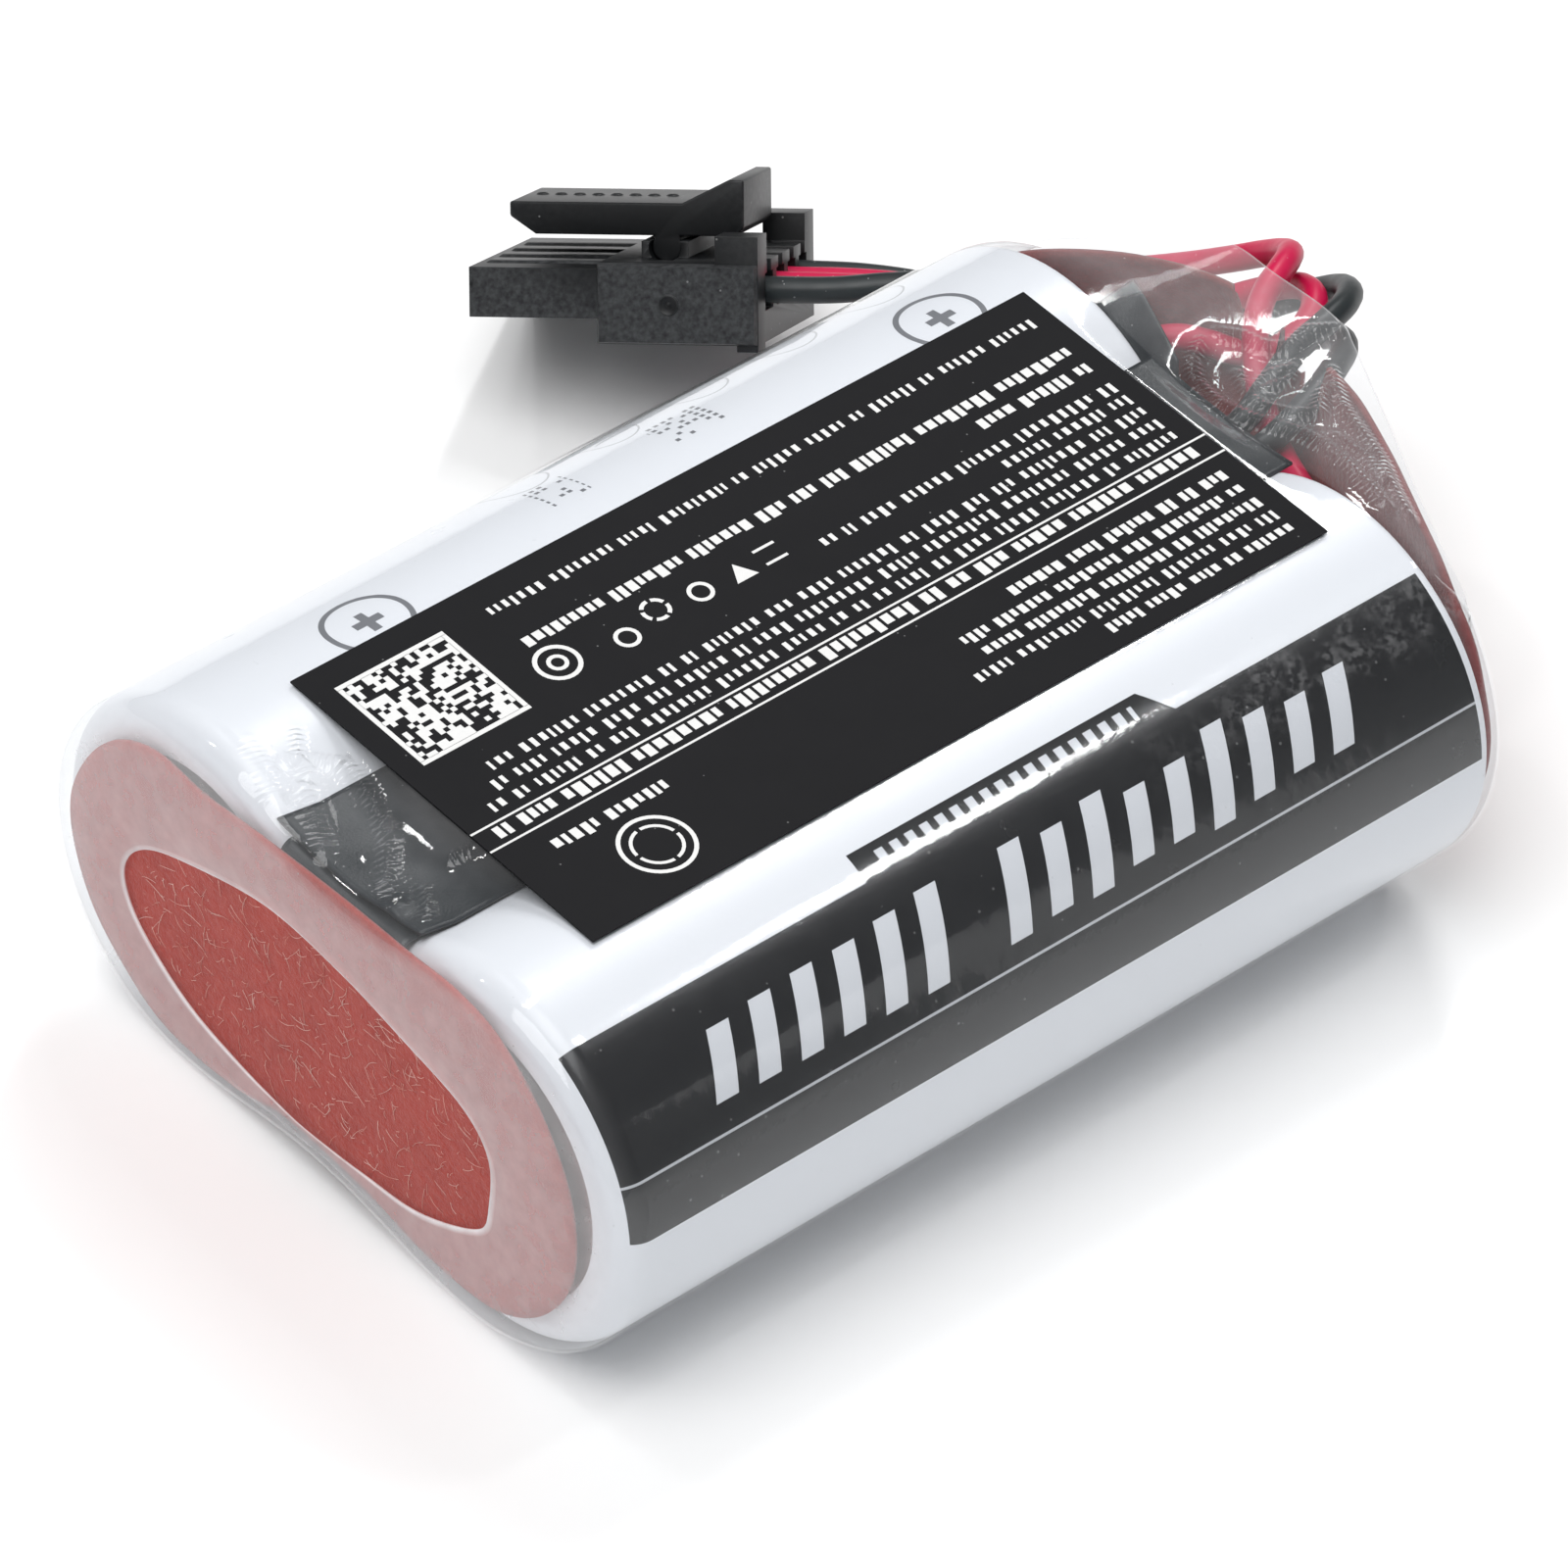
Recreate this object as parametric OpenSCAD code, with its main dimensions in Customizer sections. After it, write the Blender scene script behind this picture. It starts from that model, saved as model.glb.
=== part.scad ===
// Battery pack of two bobbin-size lithium cells in clear shrink film, with four leads to a latching plug.
// Millimetres. X runs along the cells towards the leads, Y across both cells, Z up.
// The origin is on the underside, below the middle of the cells.

/* [Cells] */
// Outside diameter of the steel can
can_d = 18.4; // [14:0.1:32]
// Length of a cell from can base to terminal cap
cell_len = 50; // [40:0.5:65]
// Wall of the steel can
can_wall = 0.3; // [0.2:0.05:0.6]
// Wall of the printed plastic sleeve
sleeve_wall = 0.12; // [0.08:0.01:0.3]
// Width of the sleeve's turned-in lip at each end
sleeve_lip = 2.2; // [1:0.1:3]
// Radius of the can's base edge
can_corner = 1.1; // [0.6:0.1:2]
// Radius of the can's rolled mouth
mouth_corner = 0.3; // [0.2:0.05:0.6]
// Gap between the two sleeved cells
cell_gap = 0.2; // [0.1:0.05:1]

/* [Wound rolls] */
// Diameter of the hole up the middle of the rolls
core_d = 3.2; // [2:0.1:5]
// Thickness of the lithium foil
anode_t = 0.45; // [0.3:0.05:0.8]
// Thickness of the carbon sheet
cathode_t = 0.75; // [0.5:0.05:1.2]
// Thickness of one layer of separator
separator_t = 0.2; // [0.1:0.05:0.3]

/* [Header] */
// Depth of the cover below the can's mouth
cover_inset = 0.2; // [0.1:0.05:0.5]
// Thickness of the steel cover
cover_t = 0.9; // [0.5:0.1:1.5]
// Outside diameter of the glass seal
glass_d = 4.6; // [3:0.1:6]
// Diameter of the terminal pin
pin_d = 1.6; // [1:0.1:2.5]
// Diameter of the terminal cap
cap_d = 6.4; // [5:0.1:8]
// Height of the terminal cap
cap_h = 0.9; // [0.6:0.1:1.5]

/* [Tabs] */
// Width of the nickel tabs
tab_w = 4; // [3:0.5:6]
// Thickness of the nickel tabs
tab_t = 0.15; // [0.1:0.05:0.3]

/* [Wrapping] */
// Thickness of the clear shrink film
film_t = 0.12; // [0.08:0.01:0.25]
// Thickness of the fibre end sheets
paper_t = 0.25; // [0.15:0.05:0.5]
// How far the end sheets stay inside the edge of the cells
paper_inset = 1.2; // [0.8:0.1:2.5]
// How far the lead end bulges past the cells
bulge = 5.5; // [4:0.1:8]
// Half of the bulge's width
bulge_half = 13; // [10:0.5:16]
// Length of the opening that the film leaves over the base end
eye_len = 24; // [16:0.5:30]
// Height of the opening that the film leaves over the base end
eye_h = 10.4; // [6:0.2:14]
// Width of the mouth that the leads come out of
mouth_w = 11; // [9:0.5:14]
// Height of the mouth that the leads come out of
mouth_h = 5; // [4:0.1:6]
// Width of the tape over the valley between the cells
tape_w = 8.4; // [5:0.2:12]
// Thickness of the tape
tape_t = 0.14; // [0.08:0.01:0.3]

/* [Label] */
// Length of the label along the cells
label_len = 42; // [30:0.5:48]
// Distance of the label's middle from the middle of the cells
label_shift = 0.8; // [-2:0.1:2]
// How far the label passes the top of each cell
label_over = 0.4; // [0:0.1:3]
// Thickness of the label
label_t = 0.1; // [0.05:0.01:0.2]

/* [Leads] */
// Outside diameter of a lead
lead_d = 1.25; // [1:0.05:1.5]

/* [Plug] */
// Spacing of the ways
pitch = 2.5; // [2:0.1:3]
// Wall beside the outer ways
plug_side = 2.5; // [2:0.1:4]
// Length of the narrow nose
nose_len = 6; // [4:0.1:10]
// Length of the body behind the nose
body_len = 7.5; // [6:0.1:12]
// Height of the body
body_h = 3.7; // [3.4:0.1:6]
// Height of the nose
nose_h = 2.3; // [2.2:0.05:3]
// Height of the nose's underside above the body's underside
nose_lift = 1.15; // [0.8:0.05:1.5]
// Side of the square cavities
cavity = 1.7; // [1.6:0.05:1.9]

/* [Latch] */
// Length of the latch lever
lever_len = 11; // [8:0.1:14]
// Width of the latch lever
lever_w = 6.2; // [4:0.1:9]
// Thickness of the latch lever
lever_t = 1.5; // [1:0.1:2]
// Gap between the body and the lever
lever_gap = 0.95; // [0.8:0.05:2]
// Distance of the pivot behind the lever's front end
pivot_back = 7.4; // [5:0.1:9]
// Radius of the lever's round foot
foot_r = 0.7; // [0.5:0.05:1]
// Height of the pivot above the body
pivot_rise = 0.45; // [0.35:0.05:0.8]
// Running clearance round the foot
foot_clear = 0.05; // [0.03:0.01:0.08]

/* [Hidden] */
$fn = 64;
fit = 0.03;
sleeve_r = can_d / 2 + fit + sleeve_wall;
film_in = sleeve_r + fit;
film_r = film_in + film_t;
axis_y = sleeve_r + cell_gap / 2;
base_x = -cell_len / 2;
cap_x = cell_len / 2;
cap_top = 0.3;
mouth_x = cap_x - cap_h + cover_inset;
cap_x0 = cap_x - cap_h + 0.12 + fit;
pin_below = 1;
cover_x = mouth_x - cover_inset - cover_t;
sleeve_x0 = base_x - fit - sleeve_wall;
sleeve_x1 = mouth_x + fit + sleeve_wall;
tab_x = cap_x + tab_t;
paper_x0 = sleeve_x0 - tab_t - 3 * fit;
paper_x1 = tab_x + 3 * fit;
film_x0 = paper_x0 - paper_t - fit;
film_x1 = paper_x1 + paper_t + fit;
paper_r = film_r - paper_inset;
bulge_r = (bulge_half * bulge_half + bulge * bulge) / (2 * bulge);
core_r = core_d / 2;
can_in = can_d / 2 - can_wall;
layer_gap = 0.05;
turn_pitch = anode_t + cathode_t + 2 * separator_t + 4 * layer_gap;
turns = floor((can_in - 0.2 - core_r) / turn_pitch * 12 - 12) / 12;
roll_x0 = base_x + can_wall + fit + 0.4 + fit;
roll_x1 = cover_x - 1.8;
valley_z = film_r + sqrt(film_in * film_in - pow(tape_w / 2 - axis_y, 2)) + 0.15;
run_z = film_r + sqrt(pow(film_in + lead_d / 2 + 0.05, 2) - pow(axis_y - lead_d / 2 - 0.1, 2)) + 0.1;
mouth_y = 1.5;
label_w = 2 * (axis_y + label_over);
plug_w = 3 * pitch + 2 * plug_side;
plug_len = nose_len + body_len;
cavity_z = nose_lift + nose_h / 2;
lever_z = body_h + lever_gap;
pivot_x = -1.2 - pivot_back;
pivot_z = body_h + pivot_rise;
bed_half = foot_r + 0.4;
bed_over = 0.3;
pad_len = 2.9;
pad_h = 1.1;
ramp = 1.1;
plug_at = [14.7, 36, 2.5];
plug_turn = [33, 11, 129];

// Routes of the leads, from the cells to the plug
red_1_route = [
    [25.9, 8, 12.3], [26, 7.9, 13.6], [26.8, 7.4, 14.8], [28.1, 6.6, 15.4], [29.4, 5.5, 15.2],
    [30.4, 4.5, 14.8], [31.5, 3.8, 14.7], [32.8, 3.5, 15], [34, 3.7, 15.4], [35, 4.4, 15.5],
    [35.6, 5.4, 15.2], [35.8, 6.6, 14.5], [35.5, 8, 13.4], [34.6, 9.9, 11.8], [33.6, 12, 10],
    [32.9, 14.6, 8.3], [32, 17.4, 7.2], [30.4, 20.1, 7], [28.4, 22.7, 7], [26.6, 25, 6.7],
    [24.7, 27.3, 6.2], [23.5, 28.8, 5.9]];
red_2_route = [
    [25.9, -8.4, 11.6], [26.05, -7.9, 12.5], [26.3, -7, 13.2], [26.7, -5.7, 13.5],
    [27.2, -4.1, 13.5], [27.8, -2.4, 13.4], [28.4, -0.7, 13.5], [29, 0.9, 14], [29.6, 2.2, 14.9],
    [30.3, 3.3, 15.8], [31.1, 4.2, 16.6], [32.2, 4.9, 17.1], [33.5, 5.4, 17.3], [34.8, 6.1, 17],
    [35.9, 7.2, 16], [36.4, 8.8, 14.6], [36.1, 10.8, 13], [35.3, 13, 11.5], [34, 15.4, 10.2],
    [32, 17.8, 9.4], [29.4, 19.8, 9], [26.6, 21.7, 8.6], [24.8, 23.9, 8.1], [22.9, 26.2, 7.6],
    [21.7, 27.7, 7.2]];
black_1_route = [
    [26, 0.8, 14.6], [27.4, 0.9, 14.9], [29.1, 1.2, 15.8], [31, 1.5, 16.8], [33.1, 1.8, 17.1],
    [35, 2.5, 16.8], [36.5, 3.9, 15.8], [37.2, 5.8, 14.1], [36.9, 7.8, 12.2], [35.5, 9.8, 10.3],
    [33.6, 11.4, 8.8], [31.4, 13, 8.1], [29.4, 14.6, 8.6], [28, 16.6, 9.9], [26.8, 18.9, 10.6],
    [24.9, 20.9, 10.2], [23, 22.8, 9.6], [21.1, 25.1, 9], [19.9, 26.6, 8.6]];
black_2_route = [
    [26, -0.8, 14.6], [27.5, -0.7, 14.7], [29.4, -0.4, 15], [31.3, 0.1, 15.3], [33, 0.8, 15.3],
    [34.4, 1.7, 14.9], [35.4, 3, 14.1], [36, 4.7, 12.7], [36.3, 6.9, 10.9], [36.3, 9.5, 8.8],
    [35.8, 12.5, 6.9], [34.9, 15.6, 5.6], [33.7, 18.7, 5], [32.1, 21.4, 5.2], [30.2, 23.8, 5.4],
    [28.4, 26.1, 5.3], [26.5, 28.4, 4.9], [25.3, 29.9, 4.6]];

// Placing: a shape about +Z is laid along +X, at a cell's axis
module at_cell(side) {
    translate([0, side * axis_y, film_r]) rotate([0, 90, 0]) children();
}

module ring(r_out, r_in, x0, x1) {
    translate([0, 0, x0]) linear_extrude(x1 - x0) difference() {
        circle(r_out);
        circle(r_in);
    }
}

// Half section of a round body with one rounded end at y0 and one at y1
module round_section(r, y0, y1, c0, c1) {
    translate([0, y0]) square([r - c0, c0 + 0.01]);
    translate([0, y0 + c0]) square([r, y1 - y0 - c0 - c1]);
    translate([0, y1 - c1 - 0.01]) square([r - c1, c1 + 0.01]);
    intersection() {
        translate([0, y0]) square([r, c0 + 0.01]);
        translate([r - c0, y0 + c0]) circle(c0);
    }
    intersection() {
        translate([0, y1 - c1 - 0.01]) square([r, c1 + 0.01]);
        translate([r - c1, y1 - c1]) circle(c1);
    }
}

module can(side) {
    color("silver") at_cell(side) rotate_extrude() difference() {
        round_section(can_d / 2, base_x, mouth_x, can_corner, mouth_corner);
        round_section(can_in, base_x + can_wall, mouth_x + 1, can_corner - can_wall, 0.01);
    }
}

module cover(side) {
    color("gainsboro") at_cell(side) ring(can_in - fit, glass_d / 2, cover_x, cover_x + cover_t);
}

module glass_seal(side) {
    color("lightblue") at_cell(side)
        ring(glass_d / 2 - fit / 3, pin_d / 2 + fit / 3, cover_x, cover_x + cover_t);
}

module pin(side) {
    color("darkgray") at_cell(side) translate([0, 0, cover_x - pin_below])
        cylinder(r = pin_d / 2, h = cap_x - cap_top - cover_x + pin_below - fit);
}

module cap_washer(side) {
    color("white") at_cell(side)
        ring(cap_d / 2 + 1, pin_d / 2 + 2 * fit, cover_x + cover_t + fit, cap_x0 - fit);
}

module terminal_cap(side) {
    color("gainsboro") at_cell(side) difference() {
        translate([0, 0, cap_x0]) cylinder(r = cap_d / 2, h = cap_x - cap_x0);
        translate([0, 0, cap_x - cap_h - 1]) cylinder(r = pin_d / 2 + fit, h = cap_h + 1 - cap_top);
    }
}

// Wound strips: a band whose inner edge starts at radius r and grows one pitch a turn
function spiral(r, n) = [for (i = [0 : n]) let (a = i * 15) (r + turn_pitch * a / 360) * [cos(a), sin(a)]];

module wound_strip(r, t, trim) {
    n = floor(turns * 24);
    inner = spiral(r, n);
    outer = spiral(r + t, n);
    translate([0, 0, roll_x0 + trim]) linear_extrude(roll_x1 - roll_x0 - 2 * trim)
        polygon(concat(inner, [for (i = [n : -1 : 0]) outer[i]]));
}

module anode(side) {
    color("lightsteelblue") at_cell(side) wound_strip(core_r, anode_t, 1.2);
}

module separator(side) {
    color("ivory") at_cell(side) {
        wound_strip(core_r + anode_t + layer_gap, separator_t, 0);
        wound_strip(core_r + anode_t + separator_t + 3 * layer_gap + cathode_t, separator_t, 0);
    }
}

module cathode(side) {
    color("dimgray") at_cell(side)
        wound_strip(core_r + anode_t + separator_t + 2 * layer_gap, cathode_t, 1.6);
}

module base_disc(side) {
    color("white") at_cell(side) translate([0, 0, base_x + can_wall + fit])
        cylinder(r = can_in - can_corner - 0.2, h = 0.4);
}

module top_disc(side) {
    color("white") at_cell(side) ring(can_in - 0.1, pin_d / 2 + 0.6, roll_x1 + fit, roll_x1 + 0.4);
}

// Strip that carries the current from the carbon sheet to the pin
module cathode_tab(side) {
    color("silver") at_cell(side) translate([-0.6, -0.6, roll_x1 + 0.02])
        cube([1.2, 1.2, cover_x - pin_below - roll_x1 - 0.04]);
}

module sleeve(side) {
    in_corner = can_corner + fit;
    in_mouth = mouth_corner + fit;
    end_r = can_d / 2 - sleeve_lip;
    inner_r = sleeve_r - sleeve_wall;
    color("white") at_cell(side) rotate_extrude() difference() {
        round_section(sleeve_r, sleeve_x0, sleeve_x1, in_corner + sleeve_wall, in_mouth + sleeve_wall);
        round_section(inner_r, sleeve_x0 + sleeve_wall, sleeve_x1 - sleeve_wall, in_corner, in_mouth);
        translate([0, sleeve_x0 - 1]) square([end_r, sleeve_x1 - sleeve_x0 + 2]);
    }
}

// Strip on the cap, folded up to the soldered end of the red lead
module positive_tab(side) {
    color("silver") translate([cap_x + fit / 3, side * axis_y, film_r]) {
        translate([0, -tab_w / 2, -2]) cube([tab_t, tab_w, 6]);
        translate([0, -side * 1.4 - tab_w / 2, 3]) cube([tab_t, tab_w, 2.6]);
    }
}

// Strip on the can's base, which carries the black run to the valley
module negative_tab(side) {
    rise = run_z - film_r + lead_d / 2;
    color("silver") translate([sleeve_x0 - tab_t - fit, 0, film_r]) {
        translate([0, side * axis_y - tab_w / 2, -2]) cube([tab_t, tab_w, rise + 2]);
        translate([0, side > 0 ? 0.1 : -axis_y, rise - 2]) cube([tab_t, axis_y - 0.1, 2]);
    }
    color("silver") translate([base_x - fit - tab_t - 0.02, side * axis_y - tab_w / 2, film_r - 2])
        cube([fit + tab_t, tab_w, tab_w]);
}

// Outlines of the wrapped pack, seen along the cells and from above
module end_outline(r, half) {
    translate([-r, -half]) square([2 * r, 2 * half]);
    for (s = [-1, 1]) translate([0, s * half]) circle(r);
}

module along_cells(r, half, x0, x1) {
    translate([x0, 0, film_r]) rotate([0, 90, 0]) linear_extrude(x1 - x0) end_outline(r, half);
}

module bulged_plan(x1, side, grow) {
    translate([0, 0, -1]) linear_extrude(2 * film_r + 2) {
        translate([-cell_len, -side]) square([cell_len + x1, 2 * side]);
        translate([x1 + bulge - bulge_r, 0]) intersection() {
            circle(bulge_r + grow);
            translate([0, -side]) square([2 * bulge_r, 2 * side]);
        }
    }
}

module wrapped(r, half, x0, x1, grow) {
    intersection() {
        along_cells(r, half, x0, x1 + bulge + 2);
        bulged_plan(x1, half + r + 1, grow);
    }
}

module mouth(extra) {
    translate([cap_x + 0.8, mouth_y - mouth_w / 2, 2 * film_r - 0.5 - mouth_h - extra])
        cube([bulge + 4, mouth_w, mouth_h + 2 * extra]);
}

module shrink_film() {
    color("azure", 0.4) difference() {
        wrapped(film_r, axis_y, film_x0 - film_t, film_x1 + film_t, 0);
        wrapped(film_in, axis_y, film_x0, film_x1, 0);
        translate([film_x0 - 1, 0, film_r]) eye_opening();
        mouth(0);
    }
}

// Opening with round ends and gently bowed edges, cut by two large arcs
module eye_opening() {
    arc_r = (eye_len * eye_len / 4 + eye_h * eye_h / 4) / eye_h;
    rotate([0, 90, 0]) linear_extrude(2) intersection() {
        translate([arc_r - eye_h / 2, 1]) circle(arc_r, $fn = 128);
        translate([eye_h / 2 - arc_r, 1]) circle(arc_r, $fn = 128);
    }
}

module base_end_sheet() {
    color("firebrick") along_cells(paper_r, axis_y - 0.6, paper_x0 - paper_t, paper_x0);
}

module lead_end_sheet() {
    color("firebrick") difference() {
        wrapped(paper_r, axis_y - 0.6, 0, paper_x1 + paper_t, 0);
        wrapped(film_r, axis_y, -1, paper_x1, 0);
        mouth(0.6);
    }
}

module valley_tape() {
    color("black") translate([base_x + 0.8, -tape_w / 2, valley_z]) cube([cell_len, tape_w, tape_t]);
}

module black_run(side) {
    color([0.15, 0.16, 0.17]) translate([sleeve_x0 - fit, side * 0.8, run_z]) rotate([0, 90, 0])
        cylinder(d = lead_d, h = black_1_route[0][0] - sleeve_x0 + fit);
}

// Flat over both crowns, wrapping a little way down each
module label() {
    inner_r = film_r + 0.02;
    color([0.13, 0.13, 0.14]) intersection() {
        difference() {
            along_cells(inner_r + label_t, axis_y, label_shift - label_len / 2, label_shift + label_len / 2);
            along_cells(inner_r, axis_y, -cell_len, cell_len);
        }
        translate([-cell_len, -label_w / 2, film_r]) cube([2 * cell_len, label_w, 2 * film_r]);
    }
}

// A lead is one tube swept along its route
function unit(v) = v / norm(v);
function heading(p, i) = unit(p[min(i + 1, len(p) - 1)] - p[max(i - 1, 0)]);
function level(d) = unit(cross([0, 0, 1], d));
function lead_ring(p, i) = let (d = heading(p, i), s = level(d), u = cross(d, s))
    [for (k = [0 : 7]) p[i] + lead_d / 2 * (cos(45 * k) * s + sin(45 * k) * u)];

module lead(p) {
    n = len(p);
    points = [for (i = [0 : n - 1]) each lead_ring(p, i)];
    sides = [for (i = [0 : n - 2]) for (k = [0 : 7])
        let (a = 8 * i + k, b = 8 * i + (k + 1) % 8) [a, a + 8, b + 8, b]];
    ends = [[for (k = [0 : 7]) k], [for (k = [7 : -1 : 0]) 8 * (n - 1) + k]];
    polyhedron(points, concat(sides, ends), convexity = 6);
}

// The plug lies on the surface beside the pack, leaning on its far lower edge
module at_plug() {
    translate(plug_at) rotate(plug_turn) children();
}

function way_y(i) = plug_w / 2 - plug_side - i * pitch;

module housing_block() {
    translate([-nose_len, -plug_w / 2, nose_lift]) cube([nose_len, plug_w, nose_h]);
    translate([-plug_len, -plug_w / 2, 0]) cube([body_len, plug_w, body_h]);
    // bed that the lever's foot turns in
    translate([pivot_x - bed_half, -lever_w / 2 - 0.5, body_h - 0.01])
        cube([2 * bed_half, lever_w + 1, pivot_rise + bed_over + 0.01]);
    // guards beside the lever's pad
    for (s = [-1, 1]) translate([-plug_len, s * (plug_w / 2 - 1) - 1, body_h - 0.01]) cube([2, 2, 1.3]);
    // foot under the near side of the body
    translate([-plug_len, plug_w / 2 - 1.6, -0.3]) cube([1, 1.6, 0.31]);
}

module plug_housing() {
    color([0.12, 0.13, 0.14]) at_plug() difference() {
        housing_block();
        for (i = [0 : 3]) {
            translate([-plug_len - 1, way_y(i) - cavity / 2, cavity_z - cavity / 2])
                cube([plug_len + 0.4, cavity, cavity]);
            translate([-0.7, way_y(i) - 0.4, cavity_z - 0.4]) cube([1, 0.8, 0.8]);
            // slot above each way at the rear
            translate([-plug_len - 0.01, way_y(i) - 0.45, cavity_z]) cube([1.6, 0.9, body_h]);
        }
        translate([pivot_x, -lever_w / 2 - 0.5 - 1, pivot_z]) rotate([-90, 0, 0])
            cylinder(r = foot_r + foot_clear, h = lever_w + 3);
    }
}

module latch_lever() {
    front = -1.2;
    rear = front - lever_len;
    stem = foot_r - 0.1;
    profile = [
        [front, lever_z + lever_t], [front, lever_z + lever_t * 0.55], [front - 1.2, lever_z],
        [pivot_x + stem, lever_z], [pivot_x + stem, pivot_z],
        [pivot_x - stem, pivot_z], [pivot_x - stem, lever_z],
        [rear + 0.4, lever_z], [rear, lever_z + 0.4], [rear, lever_z + lever_t + pad_h],
        [rear + pad_len - 2 * ramp, lever_z + lever_t + pad_h], [rear + pad_len, lever_z + lever_t]];
    color([0.12, 0.13, 0.14]) at_plug() difference() {
        union() {
            translate([0, lever_w / 2, 0]) rotate([90, 0, 0]) linear_extrude(lever_w) polygon(profile);
            translate([pivot_x, -lever_w / 2, pivot_z]) rotate([-90, 0, 0]) cylinder(r = foot_r, h = lever_w);
        }
        // hollow that catches the mating half, open below
        translate([front - 3.4, -1.4, lever_z - 0.01]) cube([1.6, 2.8, 0.5]);
    }
}

// Crimped contact: a box in the way, with the barrel that grips the lead
module contact(i) {
    box = cavity - 0.2;
    color("goldenrod") at_plug() translate([0, way_y(i - 1), cavity_z]) {
        translate([-9.6, -box / 2, -box / 2]) cube([8.4, box, box]);
        translate([-11.2, -0.3, -0.3]) cube([1.7, 0.6, 0.6]);
    }
}

can(-1);  // near_can
cover(-1);  // near_cover
glass_seal(-1);  // near_glass_seal
pin(-1);  // near_pin
cap_washer(-1);  // near_cap_washer
terminal_cap(-1);  // near_terminal_cap
anode(-1);  // near_anode
separator(-1);  // near_separator
cathode(-1);  // near_cathode
base_disc(-1);  // near_base_disc
top_disc(-1);  // near_top_disc
cathode_tab(-1);  // near_cathode_tab
sleeve(-1);  // near_sleeve
positive_tab(-1);  // near_positive_tab
negative_tab(-1);  // near_negative_tab
can(1);  // far_can
cover(1);  // far_cover
glass_seal(1);  // far_glass_seal
pin(1);  // far_pin
cap_washer(1);  // far_cap_washer
terminal_cap(1);  // far_terminal_cap
anode(1);  // far_anode
separator(1);  // far_separator
cathode(1);  // far_cathode
base_disc(1);  // far_base_disc
top_disc(1);  // far_top_disc
cathode_tab(1);  // far_cathode_tab
sleeve(1);  // far_sleeve
positive_tab(1);  // far_positive_tab
negative_tab(1);  // far_negative_tab
valley_tape();
black_run(1);  // black_run_1
black_run(-1);  // black_run_2
base_end_sheet();
lead_end_sheet();
shrink_film();
label();
color("crimson") lead(red_1_route);  // red_lead_1
color("crimson") lead(red_2_route);  // red_lead_2
color([0.15, 0.16, 0.17]) lead(black_1_route);  // black_lead_1
color([0.15, 0.16, 0.17]) lead(black_2_route);  // black_lead_2
plug_housing();
latch_lever();
contact(1);  // contact_1
contact(2);  // contact_2
contact(3);  // contact_3
contact(4);  // contact_4
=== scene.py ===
import math
import random
import bmesh
import bpy
import numpy as np
from mathutils import Matrix, Vector


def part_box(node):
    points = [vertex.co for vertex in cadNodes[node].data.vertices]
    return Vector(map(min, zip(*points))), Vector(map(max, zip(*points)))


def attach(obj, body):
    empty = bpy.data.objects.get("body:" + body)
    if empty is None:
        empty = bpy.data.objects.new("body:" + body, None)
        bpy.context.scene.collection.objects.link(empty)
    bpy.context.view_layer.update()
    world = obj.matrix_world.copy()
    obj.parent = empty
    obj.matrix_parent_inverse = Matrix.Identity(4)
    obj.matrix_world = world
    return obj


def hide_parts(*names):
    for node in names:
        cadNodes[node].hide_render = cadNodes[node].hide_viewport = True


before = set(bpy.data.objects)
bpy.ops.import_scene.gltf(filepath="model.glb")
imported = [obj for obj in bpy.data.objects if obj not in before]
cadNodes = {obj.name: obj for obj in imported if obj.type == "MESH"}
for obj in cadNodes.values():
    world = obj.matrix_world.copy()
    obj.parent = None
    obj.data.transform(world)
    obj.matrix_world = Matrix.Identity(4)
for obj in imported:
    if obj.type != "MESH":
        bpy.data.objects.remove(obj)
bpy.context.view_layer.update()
mm = 0.001

filmLow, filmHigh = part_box("shrink_film")
sleeveLow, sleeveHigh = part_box("near_sleeve")
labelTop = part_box("label")[1].z / mm
filmR = (filmHigh.z - filmLow.z) / 2 / mm
filmX0 = filmLow.x / mm
sleeveR = (sleeveHigh.z - sleeveLow.z) / 2 / mm
cellY = -(sleeveHigh.y + sleeveLow.y) / 2 / mm
midZ = filmR
print("frame loaded", len(cadNodes), "nodes")


# small helpers for node trees

def feed(tree, value, socket):
    if isinstance(value, bpy.types.NodeSocket):
        tree.links.new(value, socket)
    else:
        socket.default_value = value


def place(tree, kind, inputs=None, **settings):
    node = tree.nodes.new("ShaderNode" + kind)
    for key, value in settings.items():
        setattr(node, key, value)
    for key, value in (inputs or {}).items():
        feed(tree, value, node.inputs[key])
    return node


def calc(tree, operation, *values):
    node = tree.nodes.new("ShaderNodeMath")
    node.operation = operation
    for socket, value in zip(node.inputs, values):
        feed(tree, value, socket)
    return node.outputs[0]


def chained(operation):
    # the same sum, product or the like over any number of values
    def run(tree, first, *others):
        for other in others:
            first = calc(tree, operation, first, other)
        return first
    return run


plus, minus, times = chained("ADD"), chained("SUBTRACT"), chained("MULTIPLY")
over, most = chained("DIVIDE"), chained("MAXIMUM")


def within(tree, value, low, high):
    return times(tree, calc(tree, "GREATER_THAN", value, low), calc(tree, "LESS_THAN", value, high))


def tint(tree, share, first, second):
    node = tree.nodes.new("ShaderNodeMix")
    node.data_type = "RGBA"
    feed(tree, share, node.inputs[0])
    feed(tree, first, node.inputs[6])
    feed(tree, second, node.inputs[7])
    return node.outputs[2]


def spread(tree, value, low, high):
    # maps 0..1 to low..high
    node = place(tree, "MapRange", {"Value": value, "To Min": low, "To Max": high})
    return node.outputs[0]


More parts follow.
